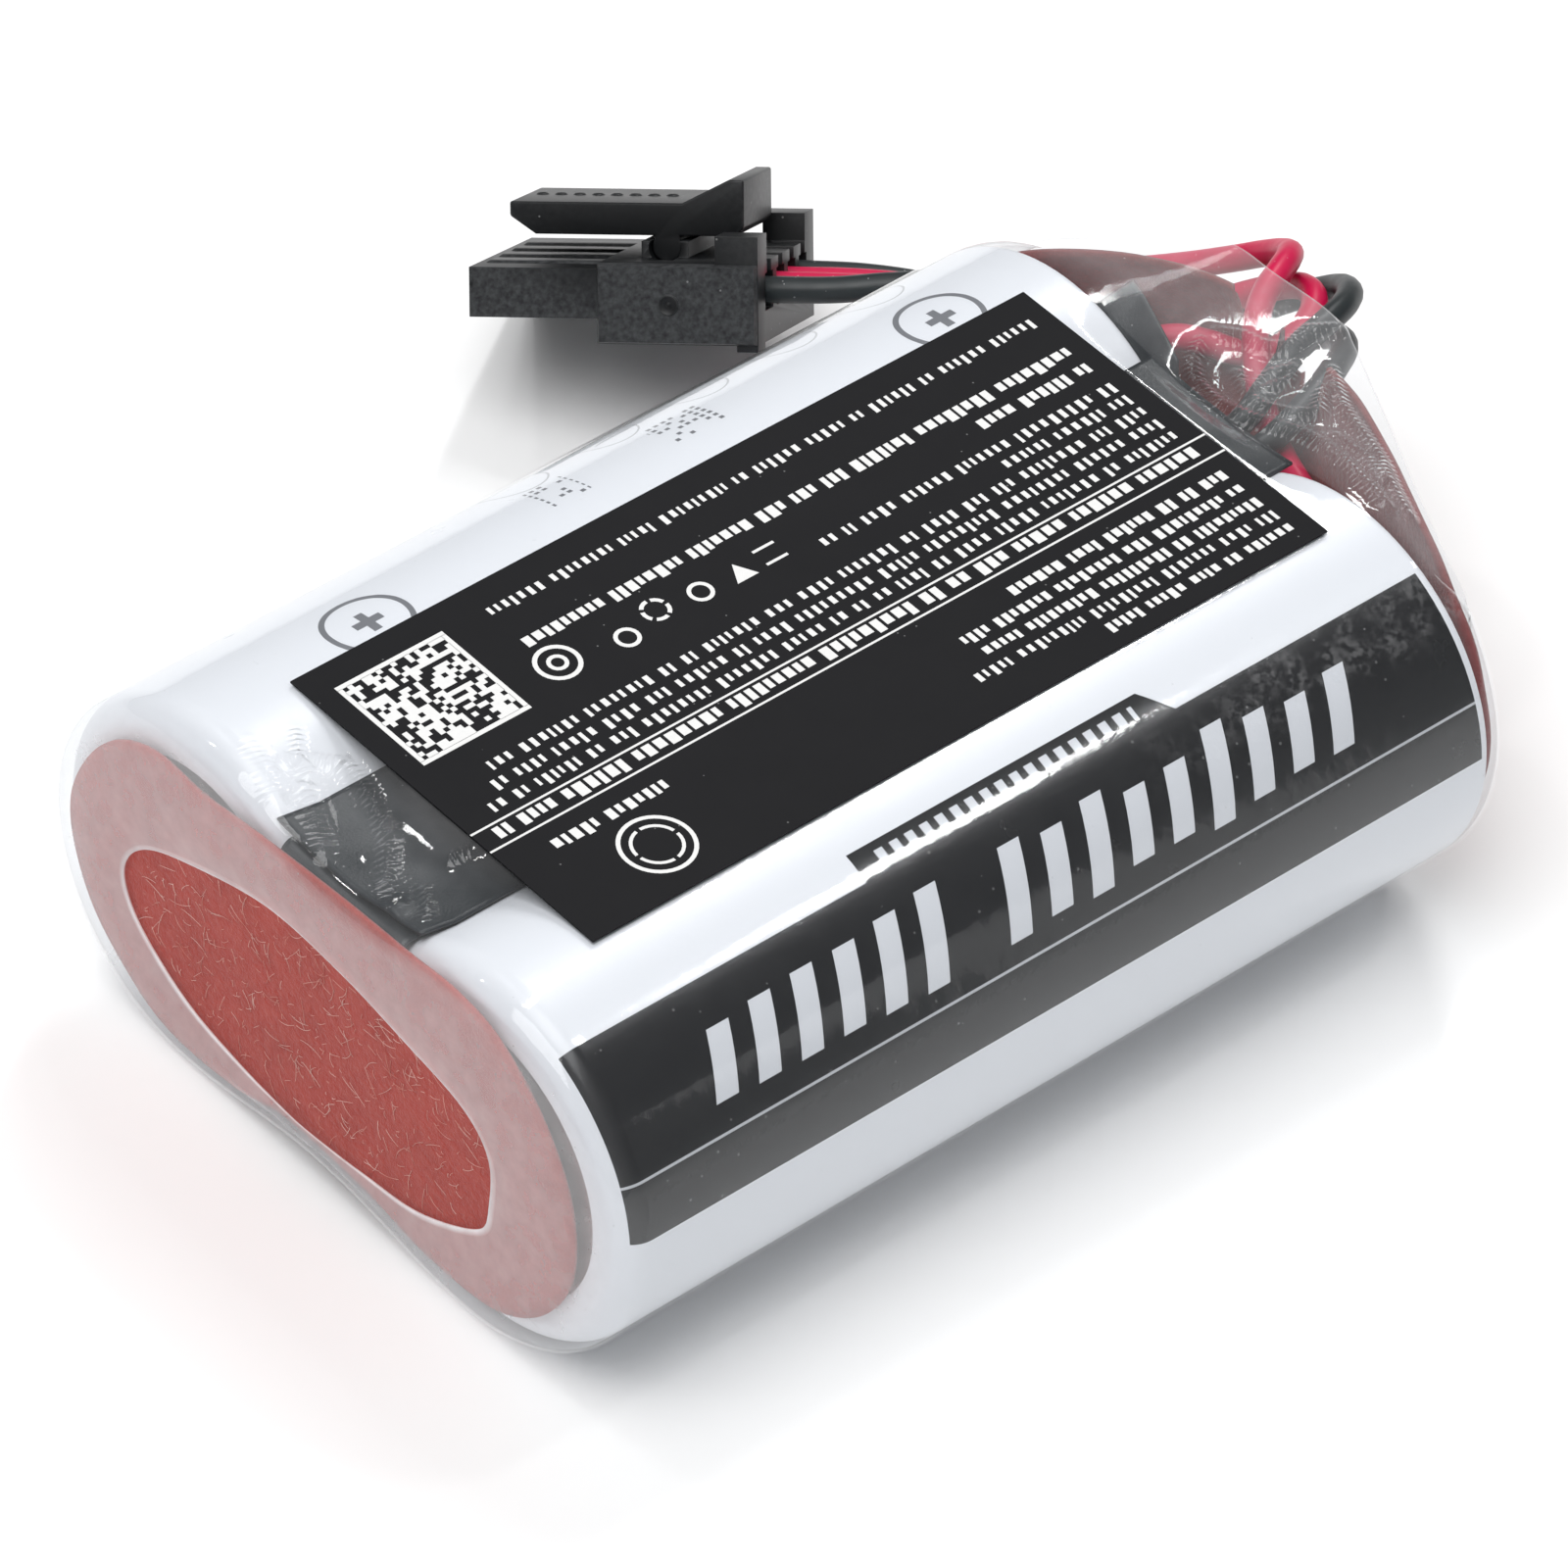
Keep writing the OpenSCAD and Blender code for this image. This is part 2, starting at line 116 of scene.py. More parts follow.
def startMaterial(name):
    material = bpy.data.materials.new(name)
    material.use_nodes = True
    material.node_tree.nodes.clear()
    return material, material.node_tree


def endMaterial(tree, shader):
    output = tree.nodes.new("ShaderNodeOutputMaterial")
    tree.links.new(shader, output.inputs["Surface"])


shaderSockets = {"normal": "Normal", "specular": "Specular IOR Level", "metal": "Metallic",
                 "sheen": "Sheen Weight", "sheenRough": "Sheen Roughness",
                 "inner": "Subsurface Weight", "innerReach": "Subsurface Radius"}


def endPrincipled(tree, base, rough, **others):
    inputs = {shaderSockets[key]: value for key, value in others.items()}
    shader = place(tree, "BsdfPrincipled", {"Base Color": base, "Roughness": rough, **inputs})
    endMaterial(tree, shader.outputs[0])


def startGroup(name, inputs, outputs):
    group = bpy.data.node_groups.new(name, "ShaderNodeTree")
    for label, kind, value in inputs:
        socket = group.interface.new_socket(label, in_out="INPUT", socket_type="NodeSocket" + kind)
        socket.default_value = value
    for label, kind in outputs:
        group.interface.new_socket(label, in_out="OUTPUT", socket_type="NodeSocket" + kind)
    return group, group.nodes.new("NodeGroupInput"), group.nodes.new("NodeGroupOutput")


def useGroup(tree, group, **values):
    node = tree.nodes.new("ShaderNodeGroup")
    node.node_tree = group
    for key, value in values.items():
        feed(tree, value, node.inputs[key])
    return node


def meshValue(tree, name):
    return place(tree, "Attribute", attribute_name=name).outputs["Fac"]


def bumped(tree, height, strength, depth):
    node = place(tree, "Bump", {"Height": height, "Strength": strength, "Distance": depth * mm})
    return node.outputs[0]


# shared effects

def makeGrain():
    # soft mottling at one scale, 0..1
    group, start, end = startGroup("surfaceGrain", [("Size", "Float", 1.0), ("Contrast", "Float", 1.0)],
                                   [("Value", "Float")])
    where = place(group, "TexCoord")
    rate = over(group, 1 / mm, start.outputs["Size"])
    noise = place(group, "TexNoise", {"Vector": where.outputs["Object"], "Scale": rate, "Detail": 4.0})
    centred = minus(group, noise.outputs["Fac"], 0.5)
    scaled = times(group, centred, start.outputs["Contrast"])
    value = plus(group, scaled, 0.5)
    clamped = place(group, "Clamp", {"Value": value})
    group.links.new(clamped.outputs[0], end.inputs["Value"])
    return group


def makeSpecks():
    # sparse tiny specks: dust and ink misses
    group, start, end = startGroup("fineSpecks", [("Spacing", "Float", 1.0), ("Reach", "Float", 0.1)],
                                   [("Mask", "Float")])
    where = place(group, "TexCoord")
    rate = over(group, 1 / mm, start.outputs["Spacing"])
    cells = place(group, "TexVoronoi", {"Vector": where.outputs["Object"], "Scale": rate})
    close = calc(group, "LESS_THAN", cells.outputs["Distance"], start.outputs["Reach"])
    chosen = place(group, "SeparateColor", {"Color": cells.outputs["Color"]})
    some = calc(group, "GREATER_THAN", chosen.outputs[0], 0.6)
    group.links.new(times(group, close, some), end.inputs["Mask"])
    return group


def makeWear():
    # paler rubbed edges on moulded and drawn pieces
    group, start, end = startGroup("edgeWear", [("Amount", "Float", 0.5)], [("Mask", "Float")])
    shape = place(group, "NewGeometry")
    sharp = place(group, "MapRange", {"Value": shape.outputs["Pointiness"],
                                      "From Min": 0.52, "From Max": 0.62})
    worn = times(group, sharp.outputs[0], grainAt(group, 0.25, 1.6), start.outputs["Amount"])
    group.links.new(worn, end.inputs["Mask"])
    return group


def makeRipple():
    # close fine ripples across a gathered ridge, from the distance along it in millimetres
    group, start, end = startGroup("filmRipple", [("Run", "Float", 0.0), ("Pitch", "Float", 0.3),
                                                  ("Wander", "Float", 1.0)], [("Height", "Float")])
    where = place(group, "TexCoord")
    noise = place(group, "TexNoise", {"Vector": where.outputs["Object"], "Scale": 1.6 / mm, "Detail": 2.0})
    noise = noise.outputs["Fac"]
    turn = over(group, times(group, start.outputs["Run"], 2 * math.pi), start.outputs["Pitch"])
    turn = plus(group, turn, times(group, noise, times(group, start.outputs["Wander"], 6.0)))
    wave = plus(group, times(group, calc(group, "SINE", turn), 0.5), 0.5)
    height = times(group, wave, plus(group, noise, 0.3))
    group.links.new(height, end.inputs["Height"])
    return group


def grainAt(tree, size, contrast):
    return useGroup(tree, grainGroup, Size=size, Contrast=contrast).outputs["Value"]


def specksAt(tree, spacing, reach):
    return useGroup(tree, specksGroup, Spacing=spacing, Reach=reach).outputs["Mask"]


def wearAt(tree, amount):
    return useGroup(tree, wearGroup, Amount=amount).outputs["Mask"]


grainGroup = makeGrain()
specksGroup = makeSpecks()
wearGroup = makeWear()
rippleGroup = makeRipple()


# mesh helpers, in millimetres

def meshPiece(name, points, faces, material, smooth=True):
    mesh = bpy.data.meshes.new(name)
    mesh.from_pydata([tuple(float(v) * mm for v in p) for p in points], [], [tuple(f) for f in faces])
    mesh.validate()
    shaped = bmesh.new()
    shaped.from_mesh(mesh)
    bmesh.ops.recalc_face_normals(shaped, faces=shaped.faces)
    shaped.to_mesh(mesh)
    shaped.free()
    for polygon in mesh.polygons:
        polygon.use_smooth = smooth
    mesh.materials.append(material)
    piece = bpy.data.objects.new(name, mesh)
    bpy.context.scene.collection.objects.link(piece)
    return piece


def dress(node, material):
    # CAD nodes keep their shape and take a better material
    mesh = cadNodes[node].data
    mesh.materials.clear()
    mesh.materials.append(material)


def applyModifiers(piece):
    # freezes the piece's modifiers into its mesh
    bpy.context.view_layer.update()
    shown = piece.evaluated_get(bpy.context.evaluated_depsgraph_get())
    mesh = bpy.data.meshes.new_from_object(shown)
    piece.modifiers.clear()
    piece.data = mesh
    return piece


def thicken(piece, wall, offset=-1.0):
    solid = piece.modifiers.new("wall", "SOLIDIFY")
    solid.thickness = wall * mm
    solid.offset = offset
    solid.use_even_offset = False
    return applyModifiers(piece)


def stripFaces(rows, count, closed):
    faces = []
    last = count if closed else count - 1
    for row in range(rows - 1):
        for column in range(last):
            a = row * count + column
            b = row * count + (column + 1) % count
            faces.append((a, b, b + count, a + count))
    return faces


def smoothLoop(points, count):
    # closed Catmull-Rom curve through the points
    points = np.array(points, float)
    total = len(points)
    result = []
    for step in range(count):
        reached = step / count * total
        i = int(reached)
        t = reached - i
        p0, p1, p2, p3 = (points[(i + k) % total] for k in (-1, 0, 1, 2))
        result.append(0.5 * (2 * p1 + (p2 - p0) * t + (2 * p0 - 5 * p1 + 4 * p2 - p3) * t ** 2
                             + (3 * p1 - p0 - 3 * p2 + p3) * t ** 3))
    return np.array(result)


def ease(value):
    value = np.clip(value, 0.0, 1.0)
    return value * value * (3 - 2 * value)


def aboutAngle(angles, samples, values, soften=5):
    # reads values at the angles from samples round a full turn, softened over some degrees
    samples = np.asarray(samples, float)
    values = np.asarray(values, float)
    order = np.argsort(samples)
    around = np.arange(360)
    table = np.stack([np.interp(around, samples[order], values[order][:, k], period=360)
                      for k in range(values.shape[1])], axis=1)
    kernel = np.exp(-0.5 * (np.arange(-3 * soften, 3 * soften + 1) / soften) ** 2)
    kernel /= kernel.sum()
    padded = np.concatenate([table[-3 * soften:], table, table[:3 * soften]])
    table = np.stack([np.convolve(padded[:, k], kernel, "valid") for k in range(table.shape[1])], axis=1)
    return np.stack([np.interp(angles, around, table[:, k], period=360)
                     for k in range(table.shape[1])], axis=1)


# camera

camera = {"azimuth": -45.08, "elevation": 43.32, "roll": 5.49, "distance": 0.45772, "lens": 242.0,
          "target": (-0.00007, 0.0, 0.00903)}


def makeCamera():
    azimuth = math.radians(camera["azimuth"])
    elevation = math.radians(camera["elevation"])
    roll = math.radians(camera["roll"])
    back = Vector((math.sin(azimuth) * math.cos(elevation), -math.cos(azimuth) * math.cos(elevation),
                   math.sin(elevation)))
    level = Vector((0, 0, 1)).cross(back).normalized()
    upright = back.cross(level)
    right = level * math.cos(roll) + upright * math.sin(roll)
    up = upright * math.cos(roll) - level * math.sin(roll)
    data = bpy.data.cameras.new("camera")
    data.lens = camera["lens"]
    data.sensor_width = 36.0
    data.clip_start = 0.01
    data.clip_end = 10.0
    eye = bpy.data.objects.new("camera", data)
    where = Vector(camera["target"]) + back * camera["distance"]
    turned = Matrix((right, up, back)).transposed().to_4x4()
    eye.matrix_world = Matrix.Translation(where) @ turned
    bpy.context.scene.collection.objects.link(eye)
    bpy.context.scene.camera = eye


makeCamera()
print("camera placed")


# leads

def wireMaterial(name, colour, deep):
    material, tree = startMaterial(name)
    grain = grainAt(tree, 0.9, 1.4)
    fine = grainAt(tree, 0.06, 1.0)
    dust = specksAt(tree, 0.5, 0.09)
    base = tint(tree, spread(tree, grain, 0.0, 0.5), colour, deep)
    base = tint(tree, times(tree, dust, 0.25), base, (0.8, 0.8, 0.8, 1))
    endPrincipled(tree, base, spread(tree, grain, 0.34, 0.5), specular=0.45,
                  normal=bumped(tree, fine, 0.25, 0.01), inner=0.05, innerReach=(0.0006, 0.0003, 0.0003))
    return material


redWire = wireMaterial("redWire", (0.62, 0.004, 0.07, 1), (0.42, 0.002, 0.045, 1))
blackWire = wireMaterial("blackWire", (0.022, 0.028, 0.03, 1), (0.012, 0.015, 0.017, 1))

leads = {
    "diameter": 1.25,
    "red_lead_1": [
        (25.9, 8, 12.3), (26, 7.9, 13.6), (26.8, 7.4, 14.8), (28.1, 6.6, 15.4), (29.4, 5.5, 15.2),
        (30.4, 4.5, 14.8), (31.5, 3.8, 14.7), (32.8, 3.5, 15), (34, 3.7, 15.4), (35, 4.4, 15.5),
        (35.6, 5.4, 15.2), (35.8, 6.6, 14.5), (35.5, 8, 13.4), (34.6, 9.9, 11.8), (33.6, 12, 10),
        (32.9, 14.6, 8.3), (32, 17.4, 7.2), (30.4, 20.1, 7), (28.4, 22.7, 7), (26.6, 25, 6.7),
        (24.7, 27.3, 6.2), (23.5, 28.8, 5.9)],
    "red_lead_2": [
        (25.9, -8.4, 11.6), (26.05, -7.9, 12.5), (26.3, -7, 13.2), (26.7, -5.7, 13.5),
        (27.2, -4.1, 13.5), (27.8, -2.4, 13.4), (28.4, -0.7, 13.5), (29, 0.9, 14), (29.6, 2.2, 14.9),
        (30.3, 3.3, 15.8), (31.1, 4.2, 16.6), (32.2, 4.9, 17.1), (33.5, 5.4, 17.3), (34.8, 6.1, 17),
        (35.9, 7.2, 16), (36.4, 8.8, 14.6), (36.1, 10.8, 13), (35.3, 13, 11.5), (34, 15.4, 10.2),
        (32, 17.8, 9.4), (29.4, 19.8, 9), (26.6, 21.7, 8.6), (24.8, 23.9, 8.1), (22.9, 26.2, 7.6),
        (21.7, 27.7, 7.2)],
    "black_lead_1": [
        (26, 0.8, 14.6), (27.4, 0.9, 14.9), (29.1, 1.2, 15.8), (31, 1.5, 16.8), (33.1, 1.8, 17.1),
        (35, 2.5, 16.8), (36.5, 3.9, 15.8), (37.2, 5.8, 14.1), (36.9, 7.8, 12.2), (35.5, 9.8, 10.3),
        (33.6, 11.4, 8.8), (31.4, 13, 8.1), (29.4, 14.6, 8.6), (28, 16.6, 9.9), (26.8, 18.9, 10.6),
        (24.9, 20.9, 10.2), (23, 22.8, 9.6), (21.1, 25.1, 9), (19.9, 26.6, 8.6)],
    "black_lead_2": [
        (26, -0.8, 14.6), (27.5, -0.7, 14.7), (29.4, -0.4, 15), (31.3, 0.1, 15.3), (33, 0.8, 15.3),
        (34.4, 1.7, 14.9), (35.4, 3, 14.1), (36, 4.7, 12.7), (36.3, 6.9, 10.9), (36.3, 9.5, 8.8),
        (35.8, 12.5, 6.9), (34.9, 15.6, 5.6), (33.7, 18.7, 5), (32.1, 21.4, 5.2), (30.2, 23.8, 5.4),
        (28.4, 26.1, 5.3), (26.5, 28.4, 4.9), (25.3, 29.9, 4.6)],
}


def makeLead(name, material):
    curve = bpy.data.curves.new(name, "CURVE")
    curve.dimensions = "3D"
    curve.bevel_depth = leads["diameter"] / 2 * mm
    curve.bevel_resolution = 6
    curve.resolution_u = 10
    curve.use_fill_caps = True
    line = curve.splines.new("BEZIER")
    route = leads[name]
    line.bezier_points.add(len(route) - 1)
    for point, where in zip(line.bezier_points, route):
        point.co = Vector(where) * mm
        point.handle_left_type = "AUTO"
        point.handle_right_type = "AUTO"
    curve.materials.append(material)
    piece = bpy.data.objects.new(name + "_wire", curve)
    bpy.context.scene.collection.objects.link(piece)
    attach(piece, "pack")
    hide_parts(name)
    return piece


leadPieces = {
    "red_lead_1": makeLead("red_lead_1", redWire),
    "red_lead_2": makeLead("red_lead_2", redWire),
    "black_lead_1": makeLead("black_lead_1", blackWire),
    "black_lead_2": makeLead("black_lead_2", blackWire),
}
for cadRun in ("black_run_1", "black_run_2"):
    dress(cadRun, blackWire)
print("leads laid")


# plug and latch lever

def nylonMaterial():
    material, tree = startMaterial("plugNylon")
    broad = grainAt(tree, 1.6, 1.0)
    fine = grainAt(tree, 0.4, 0.3)
    worn = wearAt(tree, 0.5)
    dust = specksAt(tree, 0.8, 0.06)
    base = tint(tree, spread(tree, broad, 0.0, 0.6), (0.0045, 0.005, 0.006, 1), (0.009, 0.01, 0.011, 1))
    base = tint(tree, worn, base, (0.12, 0.125, 0.13, 1))
    base = tint(tree, times(tree, dust, 0.3), base, (0.5, 0.5, 0.5, 1))
    endPrincipled(tree, base, spread(tree, fine, 0.38, 0.46), specular=0.32,
                  normal=bumped(tree, fine, 0.2, 0.02))
    return material


plugNylon = nylonMaterial()
plug = {
    "at": (14.7, 36.0, 2.5), "turn": (33.0, 11.0, 129.0), "edge": 0.11, "leverEdge": 0.16, "pitch": 2.5,
    "width": 12.5, "length": 13.5, "bodyTop": 3.72, "cheek": 0.32, "cheekEdge": 0.12, "sunk": 0.1,
    "noseTop": 3.45, "noseLength": 6.0, "band": 1.5, "bandRise": 0.1, "bandEdge": 0.22, "bandStart": -0.3,
    "mark": (-9.4, 1.85), "markR": 0.5,
    "leverTop": 6.15, "dots": 8, "dotStart": -2.0, "dotPitch": 0.88, "dotAcross": -0.2, "dotR": 0.3,
    # rings of the round mark and of a dot: share of the radius, rise
    "markRings": [(1.0, -0.05), (1.0, 0.02), (0.86, 0.07), (0.7, 0.02), (0.3, 0.02), (0.12, 0.09)],
    "dotRings": [(1.0, -0.05), (1.0, 0.01), (0.8, 0.06), (0.5, 0.01), (0.2, 0.0)],
}


def mouldedCopy(node, name, edge, body):
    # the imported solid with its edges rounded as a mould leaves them
    mesh = cadNodes[node].data.copy()
    shaped = bmesh.new()
    shaped.from_mesh(mesh)
    bmesh.ops.remove_doubles(shaped, verts=shaped.verts, dist=0.004 * mm)
    bmesh.ops.dissolve_limit(shaped, angle_limit=math.radians(2), verts=shaped.verts, edges=shaped.edges)
    shaped.to_mesh(mesh)
    shaped.free()
    mesh.materials.clear()
    mesh.materials.append(plugNylon)
    piece = bpy.data.objects.new(name, mesh)
    bpy.context.scene.collection.objects.link(piece)
    bevel = piece.modifiers.new("edges", "BEVEL")
    bevel.width = edge * mm
    bevel.segments = 3
    bevel.limit_method = "ANGLE"
    bevel.angle_limit = math.radians(40)
    bevel.harden_normals = False
    applyModifiers(piece)
    for polygon in piece.data.polygons:
        polygon.use_smooth = True
    piece.data.set_sharp_from_angle(angle=math.radians(35))
    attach(piece, body)
    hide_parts(node)
    return piece


def plugFrame():
    turns = [Matrix.Rotation(math.radians(turn), 3, axis) for turn, axis in zip(plug["turn"], "XYZ")]
    return turns[2] @ turns[1] @ turns[0]


def onPlug(points):
    # plug places to frame places, in millimetres
    turned = plugFrame()
    return [tuple(Vector(plug["at"]) + turned @ Vector(point)) for point in points]


def plugDetail(name, points, faces, body):
    piece = meshPiece(name, onPlug(points), faces, plugNylon)
    piece.data.set_sharp_from_angle(angle=math.radians(35))
    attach(piece, body)
    return piece


def makeNoseBands():
    # low bands moulded along the nose, one over each way
    p = plug
    points, faces = [], []
    back = -p["noseLength"] - 0.05
    for way in range(4):
        middle = (1.5 - way) * p["pitch"]
        low = len(points)
        high = low + 4
        for z, narrow in ((p["noseTop"] - 0.05, 0.0), (p["noseTop"] + p["bandRise"], p["bandEdge"])):
            for x, side in ((p["bandStart"], -1), (p["bandStart"], 1), (back, 1), (back, -1)):
                points.append((x - narrow * (x > -1), middle + side * (p["band"] / 2 - narrow), z))
        faces += [(low, low + 3, low + 2, low + 1), (high, high + 1, high + 2, high + 3)]
        faces += [(low + k, low + (k + 1) % 4, high + (k + 1) % 4, high + k) for k in range(4)]
    return plugDetail("nose_bands", points, faces, "pack")


def makeCheeks():
    # the body stands a little proud of the nose on both sides
    p = plug
    points, faces = [], []
    for side in (-1, 1):
        low = len(points)
        high = low + 4
        for share in (0, 1):
            narrow = p["cheekEdge"] * share
            y = side * (p["width"] / 2 - p["sunk"] + (p["cheek"] + p["sunk"]) * share)
            front = -p["noseLength"] - narrow
            back = -p["length"] + narrow
            top = p["bodyTop"] - narrow
            points += [(front, y, narrow), (front, y, top), (back, y, top), (back, y, narrow)]
        faces += [(low, low + 1, low + 2, low + 3), (high, high + 3, high + 2, high + 1)]
        faces += [(low + k, high + k, high + (k + 1) % 4, low + (k + 1) % 4) for k in range(4)]
    return plugDetail("plug_cheeks", points, faces, "pack")


def lowDome(points, faces, centre, across, up, out, radius, profile):
    # a round moulded mark built of rings: share of the radius, rise
    first = len(points)
    parts = 24
    for share, rise in profile:
        for k in range(parts):
            turn = 2 * math.pi * k / parts
            spot = Vector(centre) + Vector(across) * math.cos(turn) * radius * share
            spot += Vector(up) * math.sin(turn) * radius * share + Vector(out) * rise
            points.append(tuple(spot))
    rows = len(profile)
    faces += [tuple(v + first for v in f) for f in stripFaces(rows, parts, True)]
    faces += [tuple(first + k for k in reversed(range(parts))),
              tuple(first + (rows - 1) * parts + k for k in range(parts))]


def makeEjectorMark():
    points, faces = [], []
    x, z = plug["mark"]
    centre = (x, plug["width"] / 2 + plug["cheek"], z)
    lowDome(points, faces, centre, (1, 0, 0), (0, 0, 1), (0, 1, 0), plug["markR"], plug["markRings"])
    return plugDetail("ejector_mark", points, faces, "pack")


def makeLeverDots():
    points, faces = [], []
    for k in range(plug["dots"]):
        centre = (plug["dotStart"] - k * plug["dotPitch"], plug["dotAcross"], plug["leverTop"])
        lowDome(points, faces, centre, (1, 0, 0), (0, 1, 0), (0, 0, 1), plug["dotR"], plug["dotRings"])
    return plugDetail("lever_dots", points, faces, "lever")


housing = mouldedCopy("plug_housing", "plug_housing_moulded", plug["edge"], "pack")
lever = mouldedCopy("latch_lever", "latch_lever_moulded", plug["leverEdge"], "lever")
noseBands = makeNoseBands()
cheeks = makeCheeks()
ejectorMark = makeEjectorMark()
leverDots = makeLeverDots()
print("plug moulded")


# sleeves

# places along a cell in millimetres, and round it in degrees
sleevePrint = {
    "bandTop": 114.5, "bandBottom": 171.0, "bandStart": -24.8, "bandEnd": 23.9,
    "tabTop": 105.5, "tabStart": -8.0, "tabEnd": 8.5, "tabSlant": 0.13,
    "stripe": 153.5, "stripeHalf": 0.4,
    "barPitch": 2.35, "barShare": 0.52, "barTop": 122.5, "barBottom": 148.0, "barLean": 0.055,
    "barMiddle": 135.0, "firstRun": (-8.5, -2.5), "secondRun": (-1.5, 7.5),
    "smallPitch": 0.85, "smallShare": 0.55, "smallTop": 108.0, "smallBottom": 112.4,
    "ink": (0.016, 0.017, 0.019, 1), "missedInk": (0.2, 0.2, 0.2, 1), "bars": (0.72, 0.74, 0.78, 1),
}
sleeveWhite = (0.83, 0.85, 0.89, 1)


def cellPlace(tree, side):
    # distance along the cell in millimetres and angle round it in degrees
    where = place(tree, "TexCoord")
    parts = place(tree, "SeparateXYZ", {"Vector": where.outputs["Object"]})
    along = over(tree, parts.outputs["X"], mm)
    across = minus(tree, parts.outputs["Y"], side * cellY * mm)
    height = minus(tree, parts.outputs["Z"], midZ * mm)
    angle = calc(tree, "DEGREES", calc(tree, "ARCTAN2", height, across))
    return along, angle


def sleeveFinish(tree, base, rough):
    grain = grainAt(tree, 2.2, 1.3)
    fine = grainAt(tree, 0.35, 1.2)
    endPrincipled(tree, base, plus(tree, rough, spread(tree, grain, -0.05, 0.06)),
                  normal=bumped(tree, fine, 0.3, 0.02))


def nearSleeveMaterial():
    material, tree = startMaterial("nearSleevePrint")
    p = sleevePrint
    along, angle = cellPlace(tree, -1)
    band = times(tree, within(tree, angle, p["bandTop"], p["bandBottom"]),
                within(tree, along, p["bandStart"], p["bandEnd"]))
    slant = times(tree, minus(tree, angle, p["tabTop"]), p["tabSlant"])
    tabEnd = plus(tree, slant, p["tabEnd"])
    tab = times(tree, within(tree, angle, p["tabTop"], p["bandTop"] + 0.5),
                within(tree, along, p["tabStart"], tabEnd))
    black = most(tree, band, tab)
    # two runs of plain leaning bars stand in the place of large printing
    lean = times(tree, minus(tree, angle, p["barMiddle"]), p["barLean"])
    shifted = over(tree, plus(tree, along, lean), p["barPitch"])
    number = calc(tree, "FLOOR", shifted)
    share = calc(tree, "FRACT", shifted)
    chance = place(tree, "TexWhiteNoise", {"W": number}, noise_dimensions="1D").outputs["Value"]
    barTop = spread(tree, chance, p["barTop"], p["barTop"] + 5)
    barBottom = spread(tree, chance, p["barBottom"], p["barBottom"] - 3)
    inRuns = most(tree, within(tree, number, *p["firstRun"]), within(tree, number, *p["secondRun"]))
    bars = times(tree, calc(tree, "LESS_THAN", share, p["barShare"]),
                 within(tree, angle, barTop, barBottom), inRuns)
    small = calc(tree, "FRACT", over(tree, along, p["smallPitch"]))
    smallBars = times(tree, calc(tree, "LESS_THAN", small, p["smallShare"]),
                      within(tree, angle, p["smallTop"], p["smallBottom"]),
                      within(tree, along, p["tabStart"] + 1.2, p["tabEnd"] - 0.6))
    inStripe = within(tree, angle, p["stripe"] - p["stripeHalf"], p["stripe"] + p["stripeHalf"])
    white = most(tree, bars, smallBars, times(tree, inStripe, band, 0.8))
    ink = tint(tree, times(tree, specksAt(tree, 0.9, 0.08), 0.5), p["ink"], p["missedInk"])
    printed = tint(tree, white, ink, p["bars"])
    sleeveFinish(tree, tint(tree, black, sleeveWhite, printed), spread(tree, black, 0.32, 0.24))
    return material


farMarks = {
    "plusX": (-14.9, 18.0), "plusAngle": 80.0, "plusR": 2.0, "line": 0.14, "arm": 0.75, "armHalf": 0.224,
    "ovalAngle": 47.0, "ovalPitch": 5.2, "ovalR": 1.9, "ovalLine": 0.06, "ovalStretch": 1.25,
    "ovalRun": (-5.2, 20.8),
    "dotAngle": 67.0, "dotPitch": 0.42, "dotSide": (0.2, 0.75), "dotHalf": 1.3, "dotShare": 0.45,
    "dotRuns": [(3.2, 6.3), (-3.6, -1.5)],
    "ink": (0.09, 0.095, 0.11, 1),
}


